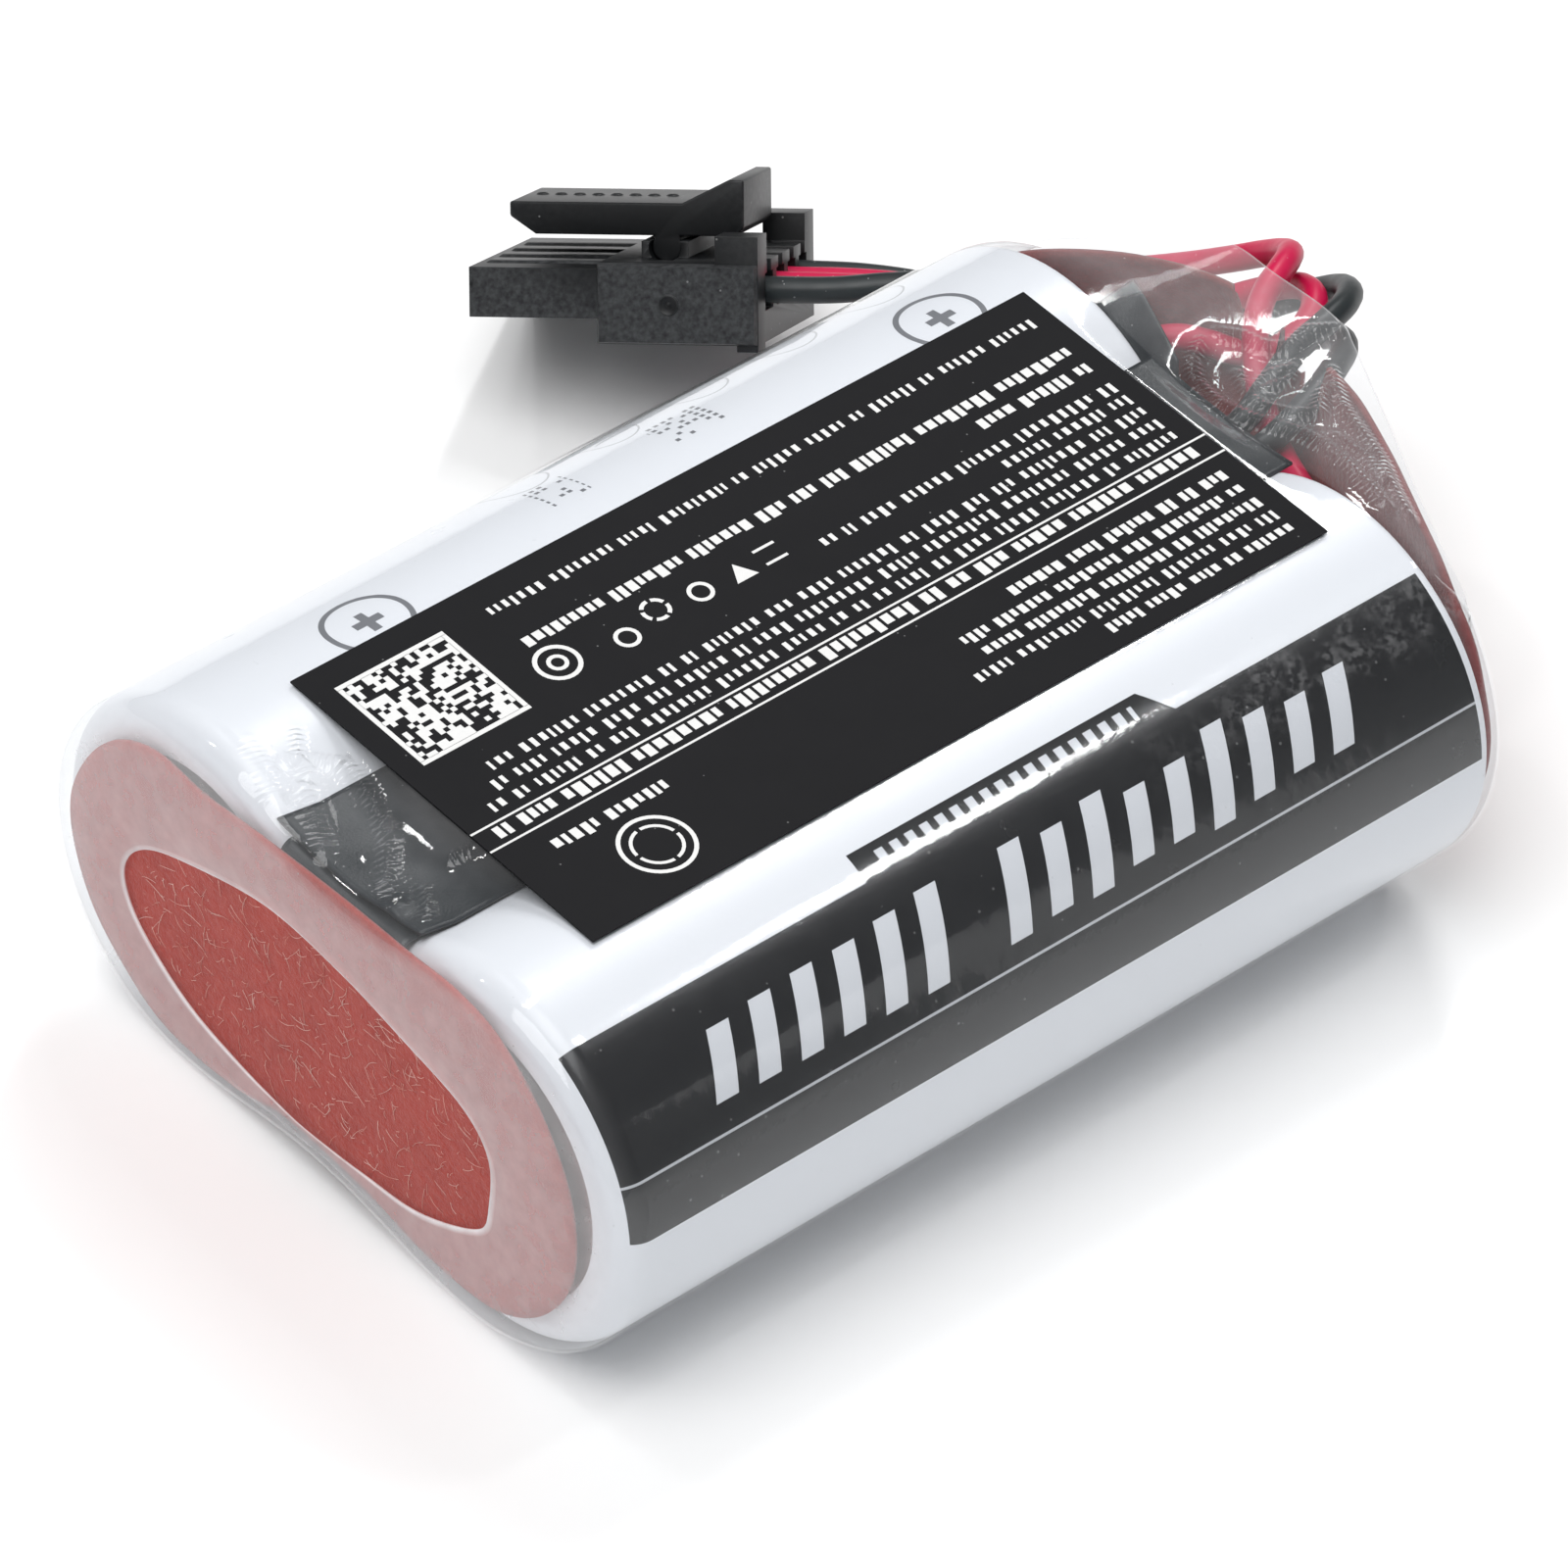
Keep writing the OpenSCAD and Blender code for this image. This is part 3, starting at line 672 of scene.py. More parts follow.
def farSleeveMaterial():
    material, tree = startMaterial("farSleevePrint")
    p = farMarks
    along, angle = cellPlace(tree, 1)

    def acrossFrom(middle):
        # millimetres round the cell from some angle
        return times(tree, minus(tree, angle, middle), math.pi / 180 * sleeveR)

    def distance(x, y):
        return calc(tree, "SQRT", plus(tree, times(tree, x, x), times(tree, y, y)))

    ink = 0.0
    dy = acrossFrom(p["plusAngle"])
    for x in p["plusX"]:
        dx = minus(tree, along, x)
        ring = within(tree, distance(dx, dy), p["plusR"] - p["line"], p["plusR"] + p["line"])
        for one, other in ((dx, dy), (dy, dx)):
            arm = times(tree, within(tree, one, -p["arm"], p["arm"]),
                        within(tree, other, -p["armHalf"], p["armHalf"]))
            ring = most(tree, ring, arm)
        ink = most(tree, ink, ring)
    # a row of thin plain ovals low on the side
    share = minus(tree, calc(tree, "FRACT", over(tree, along, p["ovalPitch"])), 0.5)
    far = distance(times(tree, share, p["ovalPitch"] * p["ovalStretch"]), acrossFrom(p["ovalAngle"]))
    ovals = times(tree, within(tree, far, p["ovalR"] - p["ovalLine"], p["ovalR"] + p["ovalLine"]),
                  within(tree, along, *p["ovalRun"]))
    # short dot rows, as an ink jet leaves
    dy = acrossFrom(p["dotAngle"])
    columns = over(tree, along, p["dotPitch"])
    rows = over(tree, dy, p["dotPitch"])
    spot = times(tree, within(tree, calc(tree, "FRACT", columns), *p["dotSide"]),
                 within(tree, calc(tree, "FRACT", rows), *p["dotSide"]))
    block = most(tree, *(within(tree, along, *run) for run in p["dotRuns"]))
    grid = place(tree, "CombineXYZ", {"X": calc(tree, "FLOOR", columns), "Y": calc(tree, "FLOOR", rows)})
    pick = place(tree, "TexWhiteNoise", {"Vector": grid.outputs[0]}, noise_dimensions="2D").outputs["Value"]
    dots = times(tree, spot, block, within(tree, dy, -p["dotHalf"], p["dotHalf"]),
                 calc(tree, "GREATER_THAN", pick, p["dotShare"]))
    ink = most(tree, ink, times(tree, ovals, 0.6), dots)
    sleeveFinish(tree, tint(tree, times(tree, ink, 0.85), sleeveWhite, p["ink"]), 0.3)
    return material


dress("near_sleeve", nearSleeveMaterial())
dress("far_sleeve", farSleeveMaterial())
print("sleeves printed")


# what is inside the cells

def metalMaterial(name, colour, rough, brushed):
    material, tree = startMaterial(name)
    grain = grainAt(tree, brushed, 1.6)
    worn = wearAt(tree, 0.4)
    base = tint(tree, spread(tree, grain, 0.0, 0.35), colour, tuple(v * 0.6 for v in colour[:3]) + (1,))
    base = tint(tree, worn, base, (0.8, 0.8, 0.8, 1))
    endPrincipled(tree, base, spread(tree, grain, rough - 0.08, rough + 0.1), metal=1.0,
                  normal=bumped(tree, grain, 0.3, 0.01))
    return material


def dullMaterial(name, colour, second, size, rough):
    material, tree = startMaterial(name)
    grain = grainAt(tree, size, 2.0)
    fine = grainAt(tree, size / 6, 1.5)
    base = tint(tree, grain, colour, second)
    endPrincipled(tree, base, spread(tree, fine, rough - 0.1, rough), normal=bumped(tree, fine, 0.5, 0.03))
    return material


insides = {
    "can": metalMaterial("canSteel", (0.6, 0.6, 0.61, 1), 0.32, 0.4),
    "cover": metalMaterial("coverSteel", (0.58, 0.58, 0.59, 1), 0.36, 0.3),
    "pin": metalMaterial("pinSteel", (0.55, 0.55, 0.56, 1), 0.3, 0.2),
    "terminal_cap": metalMaterial("capSteel", (0.64, 0.64, 0.64, 1), 0.25, 0.3),
    "cathode_tab": metalMaterial("stripNickel", (0.62, 0.59, 0.54, 1), 0.3, 0.2),
    "positive_tab": metalMaterial("tabNickel", (0.66, 0.63, 0.58, 1), 0.3, 0.25),
    "negative_tab": metalMaterial("baseTabNickel", (0.66, 0.63, 0.58, 1), 0.33, 0.25),
    "anode": metalMaterial("lithiumFoil", (0.5, 0.51, 0.54, 1), 0.6, 0.8),
    "glass_seal": dullMaterial("sealGlass", (0.12, 0.2, 0.22, 1), (0.2, 0.3, 0.32, 1), 0.5, 0.2),
    "cap_washer": dullMaterial("washerPlastic", (0.75, 0.75, 0.72, 1), (0.68, 0.68, 0.64, 1), 0.6, 0.5),
    "separator": dullMaterial("separatorFelt", (0.8, 0.8, 0.77, 1), (0.7, 0.7, 0.66, 1), 0.3, 0.95),
    "base_disc": dullMaterial("baseFelt", (0.8, 0.8, 0.77, 1), (0.7, 0.7, 0.66, 1), 0.3, 0.95),
    "top_disc": dullMaterial("topFelt", (0.8, 0.8, 0.77, 1), (0.72, 0.72, 0.68, 1), 0.3, 0.95),
    "cathode": dullMaterial("carbonSheet", (0.02, 0.02, 0.021, 1), (0.045, 0.045, 0.045, 1), 0.2, 0.9),
}
for cell in ("near", "far"):
    for part, material in insides.items():
        dress(cell + "_" + part, material)
contactTin = metalMaterial("contactTin", (0.7, 0.67, 0.6, 1), 0.28, 0.15)
for way in range(1, 5):
    dress("contact_%d" % way, contactTin)
print("insides dressed")


# outline of the wrapped pair

outlineCount = 440


def pairOutline(count):
    # spine points and outward directions evenly round the two cells, from +Y through +Z
    straight = 2 * cellY
    arc = math.pi * filmR
    total = 2 * (straight + arc)
    spine, outward = [], []
    for k in range(count):
        s = (k + 0.5) / count * total
        if s < arc / 2:
            angle, y = s / filmR, cellY
        elif s < arc / 2 + straight:
            angle, y = math.pi / 2, cellY - (s - arc / 2)
        elif s < arc * 1.5 + straight:
            angle, y = (s - straight) / filmR, -cellY
        elif s < arc * 1.5 + 2 * straight:
            angle, y = 1.5 * math.pi, -cellY + (s - arc * 1.5 - straight)
        else:
            angle, y = (s - 2 * straight) / filmR, cellY
        spine.append((y, 0.0))
        outward.append((math.cos(angle), math.sin(angle)))
    return np.array(spine), np.array(outward)


spine, outward = pairOutline(outlineCount)


def section(radius, dipTop=0.0, dipBottom=0.0):
    # the outline at some radius, drawn in between the cells
    points = spine + outward * radius
    reach = np.clip(1 - (points[:, 0] / 8.8) ** 2, 0, 1) ** 2
    upper = points[:, 1] > 0
    points[:, 1] -= np.where(upper, dipTop, -dipBottom) * reach
    return points + np.array((0.0, midZ))


# fibre sheets

def fibreMaterial(name, colour, deep, pale):
    material, tree = startMaterial(name)
    broad = grainAt(tree, 2.6, 2.2)
    felt = grainAt(tree, 0.35, 2.4)
    fine = grainAt(tree, 0.09, 2.0)
    base = tint(tree, spread(tree, broad, 0.0, 0.7), colour, deep)
    base = tint(tree, spread(tree, felt, 0.0, 0.35), base, pale)
    flecks = specksAt(tree, 0.22, 0.12)
    base = tint(tree, times(tree, flecks, 0.3), base, deep)
    height = plus(tree, fine, times(tree, felt, 1.5))
    endPrincipled(tree, base, spread(tree, fine, 0.85, 1.0), specular=0.2, sheen=0.25, sheenRough=0.5,
                  normal=bumped(tree, height, 0.6, 0.05))
    return material


baseFibre = fibreMaterial("baseFibre", (0.42, 0.04, 0.028, 1), (0.31, 0.026, 0.018, 1),
                          (0.52, 0.11, 0.08, 1))
# the same red paper as at the base, painted darker and browner as shade at the lead end
shadedLeadFibre = fibreMaterial("shadedLeadFibre", (0.24, 0.036, 0.036, 1), (0.16, 0.024, 0.024, 1),
                          (0.3, 0.075, 0.07, 1))

baseSheet = {
    "x": -25.64, "thick": 0.25, "rings": 30, "count": 240, "wave": 0.03, "turnedBack": 0.1,
    "rim": [(17.2, 11.2), (15.3, 14.5), (12.4, 16.2), (8.9, 16.2), (5.7, 16.6), (0, 17.1), (-4.3, 17.3),
            (-7.4, 17.5), (-10.2, 16.9), (-13.2, 14.6), (-15.3, 11.3), (-15.8, 7.4), (-14.4, 4), (-11.4, 1.8),
            (-7.1, 1.4), (-2.7, 2), (2.5, 2.1), (6, 1.2), (10.5, 1.1), (13.6, 2.5), (16.1, 4.8), (17.5, 8.2)],
}


def discFaces(rings, count):
    # a fan round point 0, then ring after ring
    fan = [(0, 1 + k, 1 + (k + 1) % count) for k in range(count)]
    return fan + [tuple(v + 1 for v in face) for face in stripFaces(rings, count, True)]


def makeBaseSheet():
    p = baseSheet
    rim = smoothLoop(p["rim"], p["count"])
    centre = rim.mean(axis=0)
    points = [(p["x"], centre[0], centre[1])]
    for ring in range(1, p["rings"] + 1):
        share = ring / p["rings"]
        for y, z in centre + (rim - centre) * share:
            # a shallow wave over the tabs, and the edge just turned back
            wave = p["wave"] * math.sin(y * 0.7) * math.cos(z * 0.55) * (1 - share ** 4)
            points.append((p["x"] + 0.05 + wave + p["turnedBack"] * share ** 12, y, z))
    piece = meshPiece("base_fibre_sheet", points, discFaces(p["rings"], p["count"]), baseFibre)
    thicken(piece, p["thick"], 0.0)
    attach(piece, "pack")
    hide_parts("base_end_sheet")


makeBaseSheet()

leadSheet = {
    "x": 25.3, "rings": 34, "thick": 0.25, "count": 420, "inset": 1.15, "centre": (0.0, 8.5),
    "slotEdge": 0.12,
    # how far it stands out along its top: across, out
    "plan": [(-16, 0.0), (-11.8, 1.0), (-9.3, 2.1), (-6.9, 3.2), (-4, 4.4), (-0.8, 5.3), (2, 5.55), (5, 5.5),
             (7.3, 4.95), (8.6, 4.1), (10.1, 3.0), (11.9, 1.5), (13.3, 0.6), (16, 0.0)],
    # notches that the leads pass over: from, to, floor
    "slots": [(-0.75, 0.75, 14.35), (0.75, 2.2, 15.75), (2.4, 5.2, 14.0)],
}


def bulgeAt(y, z):
    # how far the sheet is pushed out at a place, most at its top
    across = np.arange(-17, 17.01, 0.25)
    out = np.interp(across, *np.array(leadSheet["plan"], float).T)
    kernel = np.exp(-0.5 * (np.arange(-12, 13) / 4.5) ** 2)
    out = np.convolve(np.pad(out, 12), kernel / kernel.sum(), "valid")
    lift = 0.12 + 0.88 * ease((np.asarray(z) - 1.5) / 13.5)
    return np.interp(y, across, out) * lift


def makeLeadSheet():
    p = leadSheet
    rim = section(filmR - p["inset"], 0.9, 0.7)
    rim = rim[np.linspace(0, outlineCount - 1, p["count"]).astype(int)]
    rim[:, 1] += 0.75 * ease((rim[:, 1] - 14) / 3) * ease((9 - np.abs(rim[:, 0])) / 6)
    for left, right, floor in p["slots"]:
        opening = ease((rim[:, 0] - left + p["slotEdge"]) / (2 * p["slotEdge"]))
        opening = opening * ease((right + p["slotEdge"] - rim[:, 0]) / (2 * p["slotEdge"]))
        cut = np.minimum(rim[:, 1], rim[:, 1] * (1 - opening) + floor * opening)
        rim[:, 1] = np.where(rim[:, 1] > midZ, cut, rim[:, 1])
    centre = np.array(p["centre"])
    points = [(p["x"] + float(bulgeAt(*centre)), centre[0], centre[1])]
    for ring in range(1, p["rings"] + 1):
        share = ring / p["rings"]
        yz = centre + (rim - centre) * share
        x = p["x"] + bulgeAt(yz[:, 0], yz[:, 1])
        x = x + 0.09 * np.sin(yz[:, 0] * 1.1 + 1) * np.sin(yz[:, 1] * 0.9)
        points.extend(zip(x, yz[:, 0], yz[:, 1]))
    piece = meshPiece("lead_fibre_sheet", points, discFaces(p["rings"], p["count"]), shadedLeadFibre)
    thicken(piece, p["thick"], 0.0)
    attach(piece, "pack")
    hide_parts("lead_end_sheet")


makeLeadSheet()


# edge of the opening that the film leaves over the base end
eyeRim = [(13.4, 9.1), (12.1, 10.9), (9.3, 12.2), (4.1, 13.7), (-0.8, 13.6), (-5.1, 12.9), (-8.9, 12.1),
          (-10.7, 10.5), (-10.9, 7.8), (-10.4, 6), (-6.6, 3.9), (-2.9, 3.3), (2.3, 3.0), (8, 3.8),
          (11.7, 5.7), (13.2, 7.4)]
hairs = {"count": 420, "radius": 0.011, "steps": 6, "shortest": 0.35, "longest": 1.9, "curl": 1.2,
         "lift": 0.08, "rimCount": 120, "spread": 0.95, "clear": 0.12}


def hairMaterial():
    material, tree = startMaterial("paleHair")
    grain = grainAt(tree, 1.5, 3.0)
    base = tint(tree, grain, (0.62, 0.25, 0.2, 1), (0.85, 0.66, 0.6, 1))
    endPrincipled(tree, base, spread(tree, grain, 0.5, 0.8))
    return material


def makeHairs():
    # loose pale hairs lying on the fibre sheet, inside the film's opening
    p = hairs
    dice = random.Random(11)
    rim = smoothLoop(eyeRim, p["rimCount"])
    centre = rim.mean(axis=0)
    radius, steps = p["radius"], p["steps"]
    points, faces = [], []
    for _ in range(p["count"]):
        edge = rim[dice.randrange(p["rimCount"])]
        y, z = centre + (edge - centre) * p["spread"] * math.sqrt(dice.random())
        heading = dice.uniform(0, 2 * math.pi)
        curl = dice.uniform(-p["curl"], p["curl"])
        length = dice.uniform(p["shortest"], p["longest"]) * dice.random() ** 0.5
        lift = dice.uniform(0.0, p["lift"])
        first = len(points)
        for step in range(steps):
            x = baseSheet["x"] - p["clear"] - lift * math.sin(math.pi * (step / (steps - 1)))
            for side in range(3):
                turn = 2 * math.pi * side / 3
                off = radius * math.cos(turn)
                points.append((x + radius * math.sin(turn), y - off * math.sin(heading),
                               z + off * math.cos(heading)))
            y += math.cos(heading) * length / steps
            z += math.sin(heading) * length / steps
            heading += curl / steps
        for a in range(first, first + (steps - 1) * 3, 3):
            faces += [(a + k, a + (k + 1) % 3, a + 3 + (k + 1) % 3, a + 3 + k) for k in range(3)]
        last = first + (steps - 1) * 3
        faces += [(first + 2, first + 1, first), (last, last + 1, last + 2)]
    piece = meshPiece("base_sheet_hairs", points, faces, hairMaterial())
    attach(piece, "pack")


makeHairs()
print("fibre sheets made")


# black tape in the valley

def tapeMaterial():
    material, tree = startMaterial("blackTape")
    broad = grainAt(tree, 1.4, 1.6)
    fine = grainAt(tree, 0.12, 1.6)
    dust = specksAt(tree, 0.55, 0.08)
    base = tint(tree, broad, (0.01, 0.015, 0.019, 1), (0.02, 0.026, 0.03, 1))
    base = tint(tree, times(tree, dust, 0.35), base, (0.5, 0.5, 0.5, 1))
    endPrincipled(tree, base, spread(tree, fine, 0.3, 0.5), normal=bumped(tree, fine, 0.3, 0.03))
    return material


blackTape = tapeMaterial()
tape = {"start": -24.9, "end": 24.9, "half": 4.5, "sag": 0.3, "thick": 0.14, "edgeZ": 17.56, "worn": 0.35,
        "bubble": (-24.35, -2.1), "bubbleR": 0.5, "bubbleRise": 0.24}
wrap = {"from": -22.5, "corner": -24.7, "z": 17.0, "cornerR": 0.6, "drop": 5.0, "left": -3.7, "right": 4.1,
        "sag": 0.25, "middle": 0.2, "half": 3.9, "thick": 0.12}
# the strip's two long edges
endStrip = {
    "inner": [(25.1, 9.6, 16.2), (25.1, 8.0, 16.0), (25.1, 5.5, 15.6), (25.1, 3.6, 15.2), (25.0, 2.6, 15.0)],
    "outer": [(27.5, 8.6, 17.55), (27.25, 7.6, 17.5), (26.7, 6.2, 17.4), (26.15, 4.8, 17.3),
              (25.9, 3.9, 17.0)],
    "rows": 41, "columns": 15, "sway": 0.1, "curl": 0.12, "thick": 0.13,
}


def makeValleyTape():
    p = tape
    xs = np.linspace(p["start"], p["end"], 150)
    ys = np.linspace(-1, 1, 40)
    points = []
    for x in xs:
        nearEnd = max(0.0, 1 - (x - p["start"]) / 2)
        for v in ys:
            # the edges wander a little, and the cut end is uneven
            y = v * p["half"] + p["worn"] * math.sin(x * 0.23) * 0.3
            y += p["worn"] * nearEnd
            z = p["edgeZ"] - p["sag"] * (1 - v * v)
            z += 0.05 * math.sin(x * 1.3 + y) * math.cos(y * 1.1) * (1 - v * v)
            near = math.hypot(x - p["bubble"][0], y - p["bubble"][1]) / p["bubbleR"]
            z += p["bubbleRise"] * math.exp(-near ** 2 * 1.3)
            points.append((x - p["worn"] * (v < 0) * v * nearEnd, y, z))
    piece = meshPiece("valley_tape_strip", points, stripFaces(len(xs), len(ys), False), blackTape)
    thicken(piece, p["thick"], 0.0)
    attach(piece, "pack")
    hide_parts("valley_tape")


def makeTapeWrap():
    # lower layer that goes on over the base end
    p = wrap
    path = [(x, p["z"]) for x in np.linspace(p["from"], p["corner"], 10)]
    for k in range(1, 9):
        turn = k / 8 * math.pi / 2
        down = p["cornerR"] * (1 - math.cos(turn))
        path.append((p["corner"] - p["cornerR"] * math.sin(turn), p["z"] - down))
    for k in range(1, 12):
        path.append((p["corner"] - p["cornerR"], p["z"] - p["cornerR"] - k / 11 * p["drop"]))
    ys = np.linspace(p["left"], p["right"], 30)
    points = []
    for x, z in path:
        for y in ys:
            onTop = z > p["z"] - 0.7
            points.append((x, y, z - p["sag"] * (1 - ((y - p["middle"]) / p["half"]) ** 2) * onTop))
    piece = meshPiece("valley_tape_wrap", points, stripFaces(len(path), len(ys), False), blackTape)
    thicken(piece, p["thick"], 0.0)
    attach(piece, "pack")


def makeEndTape():
    # tape that leans out from the far cell's end, its outer edge standing up
    p = endStrip
    inner, outer = np.array(p["inner"]), np.array(p["outer"])
    rows, columns = p["rows"], p["columns"]
    points = []
    for k in range(rows):
        t = k / (rows - 1) * (len(inner) - 1)
        i = min(int(t), len(inner) - 2)
        a = inner[i] + (inner[i + 1] - inner[i]) * (t - i)
        b = outer[i] + (outer[i + 1] - outer[i]) * (t - i)
        for m in range(columns):
            share = m / (columns - 1)
            sway = p["sway"] * math.sin(share * math.pi) * math.sin(k * 0.3)
            x, y, z = a + (b - a) * share
            points.append((x, y, z + sway + p["curl"] * share ** 4))
    piece = meshPiece("end_tape_strip", points, stripFaces(rows, columns, False), blackTape)
    thicken(piece, p["thick"], 0.0)
    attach(piece, "pack")


makeValleyTape()
makeTapeWrap()
makeEndTape()
print("tape laid")


# clear shrink film

def filmMaterial():
    material, tree = startMaterial("clearFilm")
    ripple = useGroup(tree, rippleGroup, Run=meshValue(tree, "run"), Pitch=0.3, Wander=0.9).outputs["Height"]
    dents = grainAt(tree, 1.1, 1.2)
    # ripples on the ridges, dents most where the film is drawn in
    dentDepth = plus(tree, 0.1, times(tree, meshValue(tree, "drawn"), 0.3))
    height = plus(tree, times(tree, ripple, meshValue(tree, "ridge"), 2.2), times(tree, dents, dentDepth))
    normal = bumped(tree, height, 0.6, 0.1)
    facing = place(tree, "Fresnel", {"IOR": 1.45, "Normal": normal}).outputs[0]
    outside = minus(tree, 1.0, place(tree, "NewGeometry").outputs["Backfacing"])
    lively = times(tree, outside, minus(tree, 1.0, times(tree, meshValue(tree, "calm"), 0.82)))
    clear = place(tree, "BsdfTransparent", {"Color": (0.97, 0.975, 0.98, 1)})
    shine = place(tree, "BsdfGlossy", {"Color": (1, 1, 1, 1), "Roughness": 0.07, "Normal": normal})
    hazeSheenShader = place(tree, "BsdfDiffuse", {"Color": (0.9, 0.9, 0.92, 1), "Normal": normal})
    # milky haze, a painted highlight line along the cut edges, painted reflection in patches where the film
    # lies loose over the near band, and dust
    hazeAndEdgeGlint = times(tree, meshValue(tree, "hazeAndEdgeGlint"), spread(tree, dents, 0.7, 1.25))
    # painted reflection in patches where the film lies loose over the band
    loosePatchSheen = times(tree, grainAt(tree, 0.35, 6.0), grainAt(tree, 1.2, 5.0), 0.08)
    loosePatchSheen = times(tree, loosePatchSheen, meshValue(tree, "patchSheenMask"))
    hazeAndSheen = times(tree, plus(tree, hazeAndEdgeGlint, loosePatchSheen, times(tree, specksAt(tree, 0.8, 0.06), 0.15)), outside)
    mirrored = times(tree, facing, lively)
    outer = place(tree, "MixShader", {0: mirrored, 1: clear.outputs[0], 2: shine.outputs[0]})
    whole = place(tree, "MixShader", {0: hazeAndSheen, 1: outer.outputs[0], 2: hazeSheenShader.outputs[0]})
    # light passes straight through to what is wrapped
    shade = place(tree, "LightPath").outputs["Is Shadow Ray"]
    plain = place(tree, "BsdfTransparent", {"Color": (0.95, 0.95, 0.95, 1)})
    seen = place(tree, "MixShader", {0: shade, 1: whole.outputs[0], 2: plain.outputs[0]})
    endMaterial(tree, seen.outputs[0])
    return material


clearFilm = filmMaterial()

film = {
    "wall": 0.12, "shoulder": 1.3, "shoulderRings": 9, "baseDip": 1.35, "baseDipBottom": 0.9, "leadDip": 1.0,
    "leadDipBottom": 0.7, "bodyFrom": -24.0, "bodyTo": 24.0, "faceRings": 16, "tentRings": 60,
    "faceProud": 0.2, "puff": 0.16, "fold": 0.03, "slack": 0.025, "eyeMid": (1.2, 8.3), "eyeCount": 400,
    # the lip turns over the sheet in this share of its run, and stays this far off it
    "lipTurn": 1.3, "lipShare": 0.3, "sheetGap": 0.36, "hoodBend": 0.125,
    # the hood, the duller edge and the place of the painted reflection in patches, in degrees round the pack
    # or the near cell
    "hoodFrom": (24, 16), "hoodTo": (156, 9), "calmFrom": (34, 5), "calmTo": (68, 6),
    "sheenPatchFrom": (113, 4), "sheenPatchTo": (136, 9),
    # ridges where the film is drawn in: plan points, height, half width
    "ridgeScale": 1.45,
    "ridges": [
        ([(26.3, 3.0), (25.2, 2.4), (24.5, 1.4), (24.4, -0.2), (24.8, -1.8), (25.6, -3.7), (25.9, -5.5),
          (25.6, -7.6), (25.2, -10.0)], 0.3, 0.42),
        ([(27.3, 3.0), (28.1, 2.1), (28.4, 1.1), (29.2, 0.5), (30.7, 0.7), (31.9, 0.0)], 0.28, 0.4),
        ([(26.3, 0.6), (25.7, -0.5), (25.8, -1.7), (26.4, -2.8), (27.3, -3.5), (28.6, -2.5)], 0.26, 0.36),
        ([(26.2, -0.4), (27.4, -0.2), (28.5, -0.6), (27.8, -1.1), (26.7, -0.9)], 0.2, 0.3),
        ([(29.8, -1.8), (28.5, -3.8), (27.9, -6.0), (27.4, -7.6), (26.5, -9.2), (25.9, -10.8)], 0.24, 0.36),
        ([(26.8, -5.2), (26.9, -7.0), (26.4, -8.6)], 0.2, 0.34),
        ([(-21.5, 4.4), (-21.9, 2.4), (-22.7, 0.4), (-23.9, -1.0), (-24.4, -1.9)], 0.17, 0.4),
        ([(-23.5, 4.8), (-24.1, 3.2), (-24.8, 2.0)], 0.14, 0.34),
        ([(-23.2, -2.7), (-24.3, -4.3)], 0.14, 0.3),
        ([(-21.6, -2.3), (-20.6, -2.6)], 0.12, 0.3),
        ([(-23.8, 8.2), (-24.3, 6.4), (-24.7, 5.2)], 0.1, 0.35),
        ([(-23.2, 6.4), (-22.3, 5.8), (-21.6, 4.9)], 0.1, 0.3),
        ([(-21.8, 7.6), (-22.6, 6.4), (-23.0, 5.2)], 0.08, 0.3)],
    # free edge at the lead end: the part that stands out over the leads
    "hood": [(26.0, 14.3, 17.4), (28.4, 10.9, 18.1), (30.5, 8.7, 18.6), (32.0, 7.2, 19.0), (32.0, 4.8, 18.7),
             (32.5, 1.8, 18.5), (32.4, 0.0, 18.4), (31.0, -2.9, 18.25), (29.5, -6.0, 18.1),
             (27.7, -9.3, 18.1), (25.6, -14.0, 17.75)],
    # the rest of that edge, on the sheet: across, up
    "lip": [(-15.4, 14.6), (-14.2, 11.0), (-12.2, 7.8), (-8.2, 5.2), (0.0, 3.8), (8.4, 5.2), (12.4, 7.6),
            (13.6, 10.4), (14.0, 13.6)],
}


def ridgeLift(x, y):
    # height the ridges add at plan places, nearness to a ridge, and distance along it
    lift = np.zeros_like(x)
    nearness = np.zeros_like(x)
    run = np.zeros_like(x)
    for route, height, half in film["ridges"]:
        best = np.full_like(x, 99.0)
        along = np.zeros_like(x)
        passed = 0.0
        for (x0, y0), (x1, y1) in zip(route[:-1], route[1:]):
            dx, dy = x1 - x0, y1 - y0
            long = math.hypot(dx, dy)
            t = np.clip(((x - x0) * dx + (y - y0) * dy) / long ** 2, 0, 1)
            away = np.hypot(x - x0 - t * dx, y - y0 - t * dy)
            closer = away < best
            best = np.where(closer, away, best)
            along = np.where(closer, passed + t * long, along)
            passed += long
        lift += film["ridgeScale"] * height * np.exp(-(best / half) ** 2)
        near = np.exp(-(best / (half * 1.05)) ** 2)
        run = np.where(near > nearness, along, run)
        nearness = np.maximum(nearness, near)
    return lift, nearness, run


def between(values, start, stop):
    # 1 inside two soft limits, each given as a place and a width
    return ease((values - start[0]) / start[1]) * ease((stop[0] - values) / stop[1])


def angleRound(y, z):
    return np.degrees(np.arctan2(z, y)) % 360


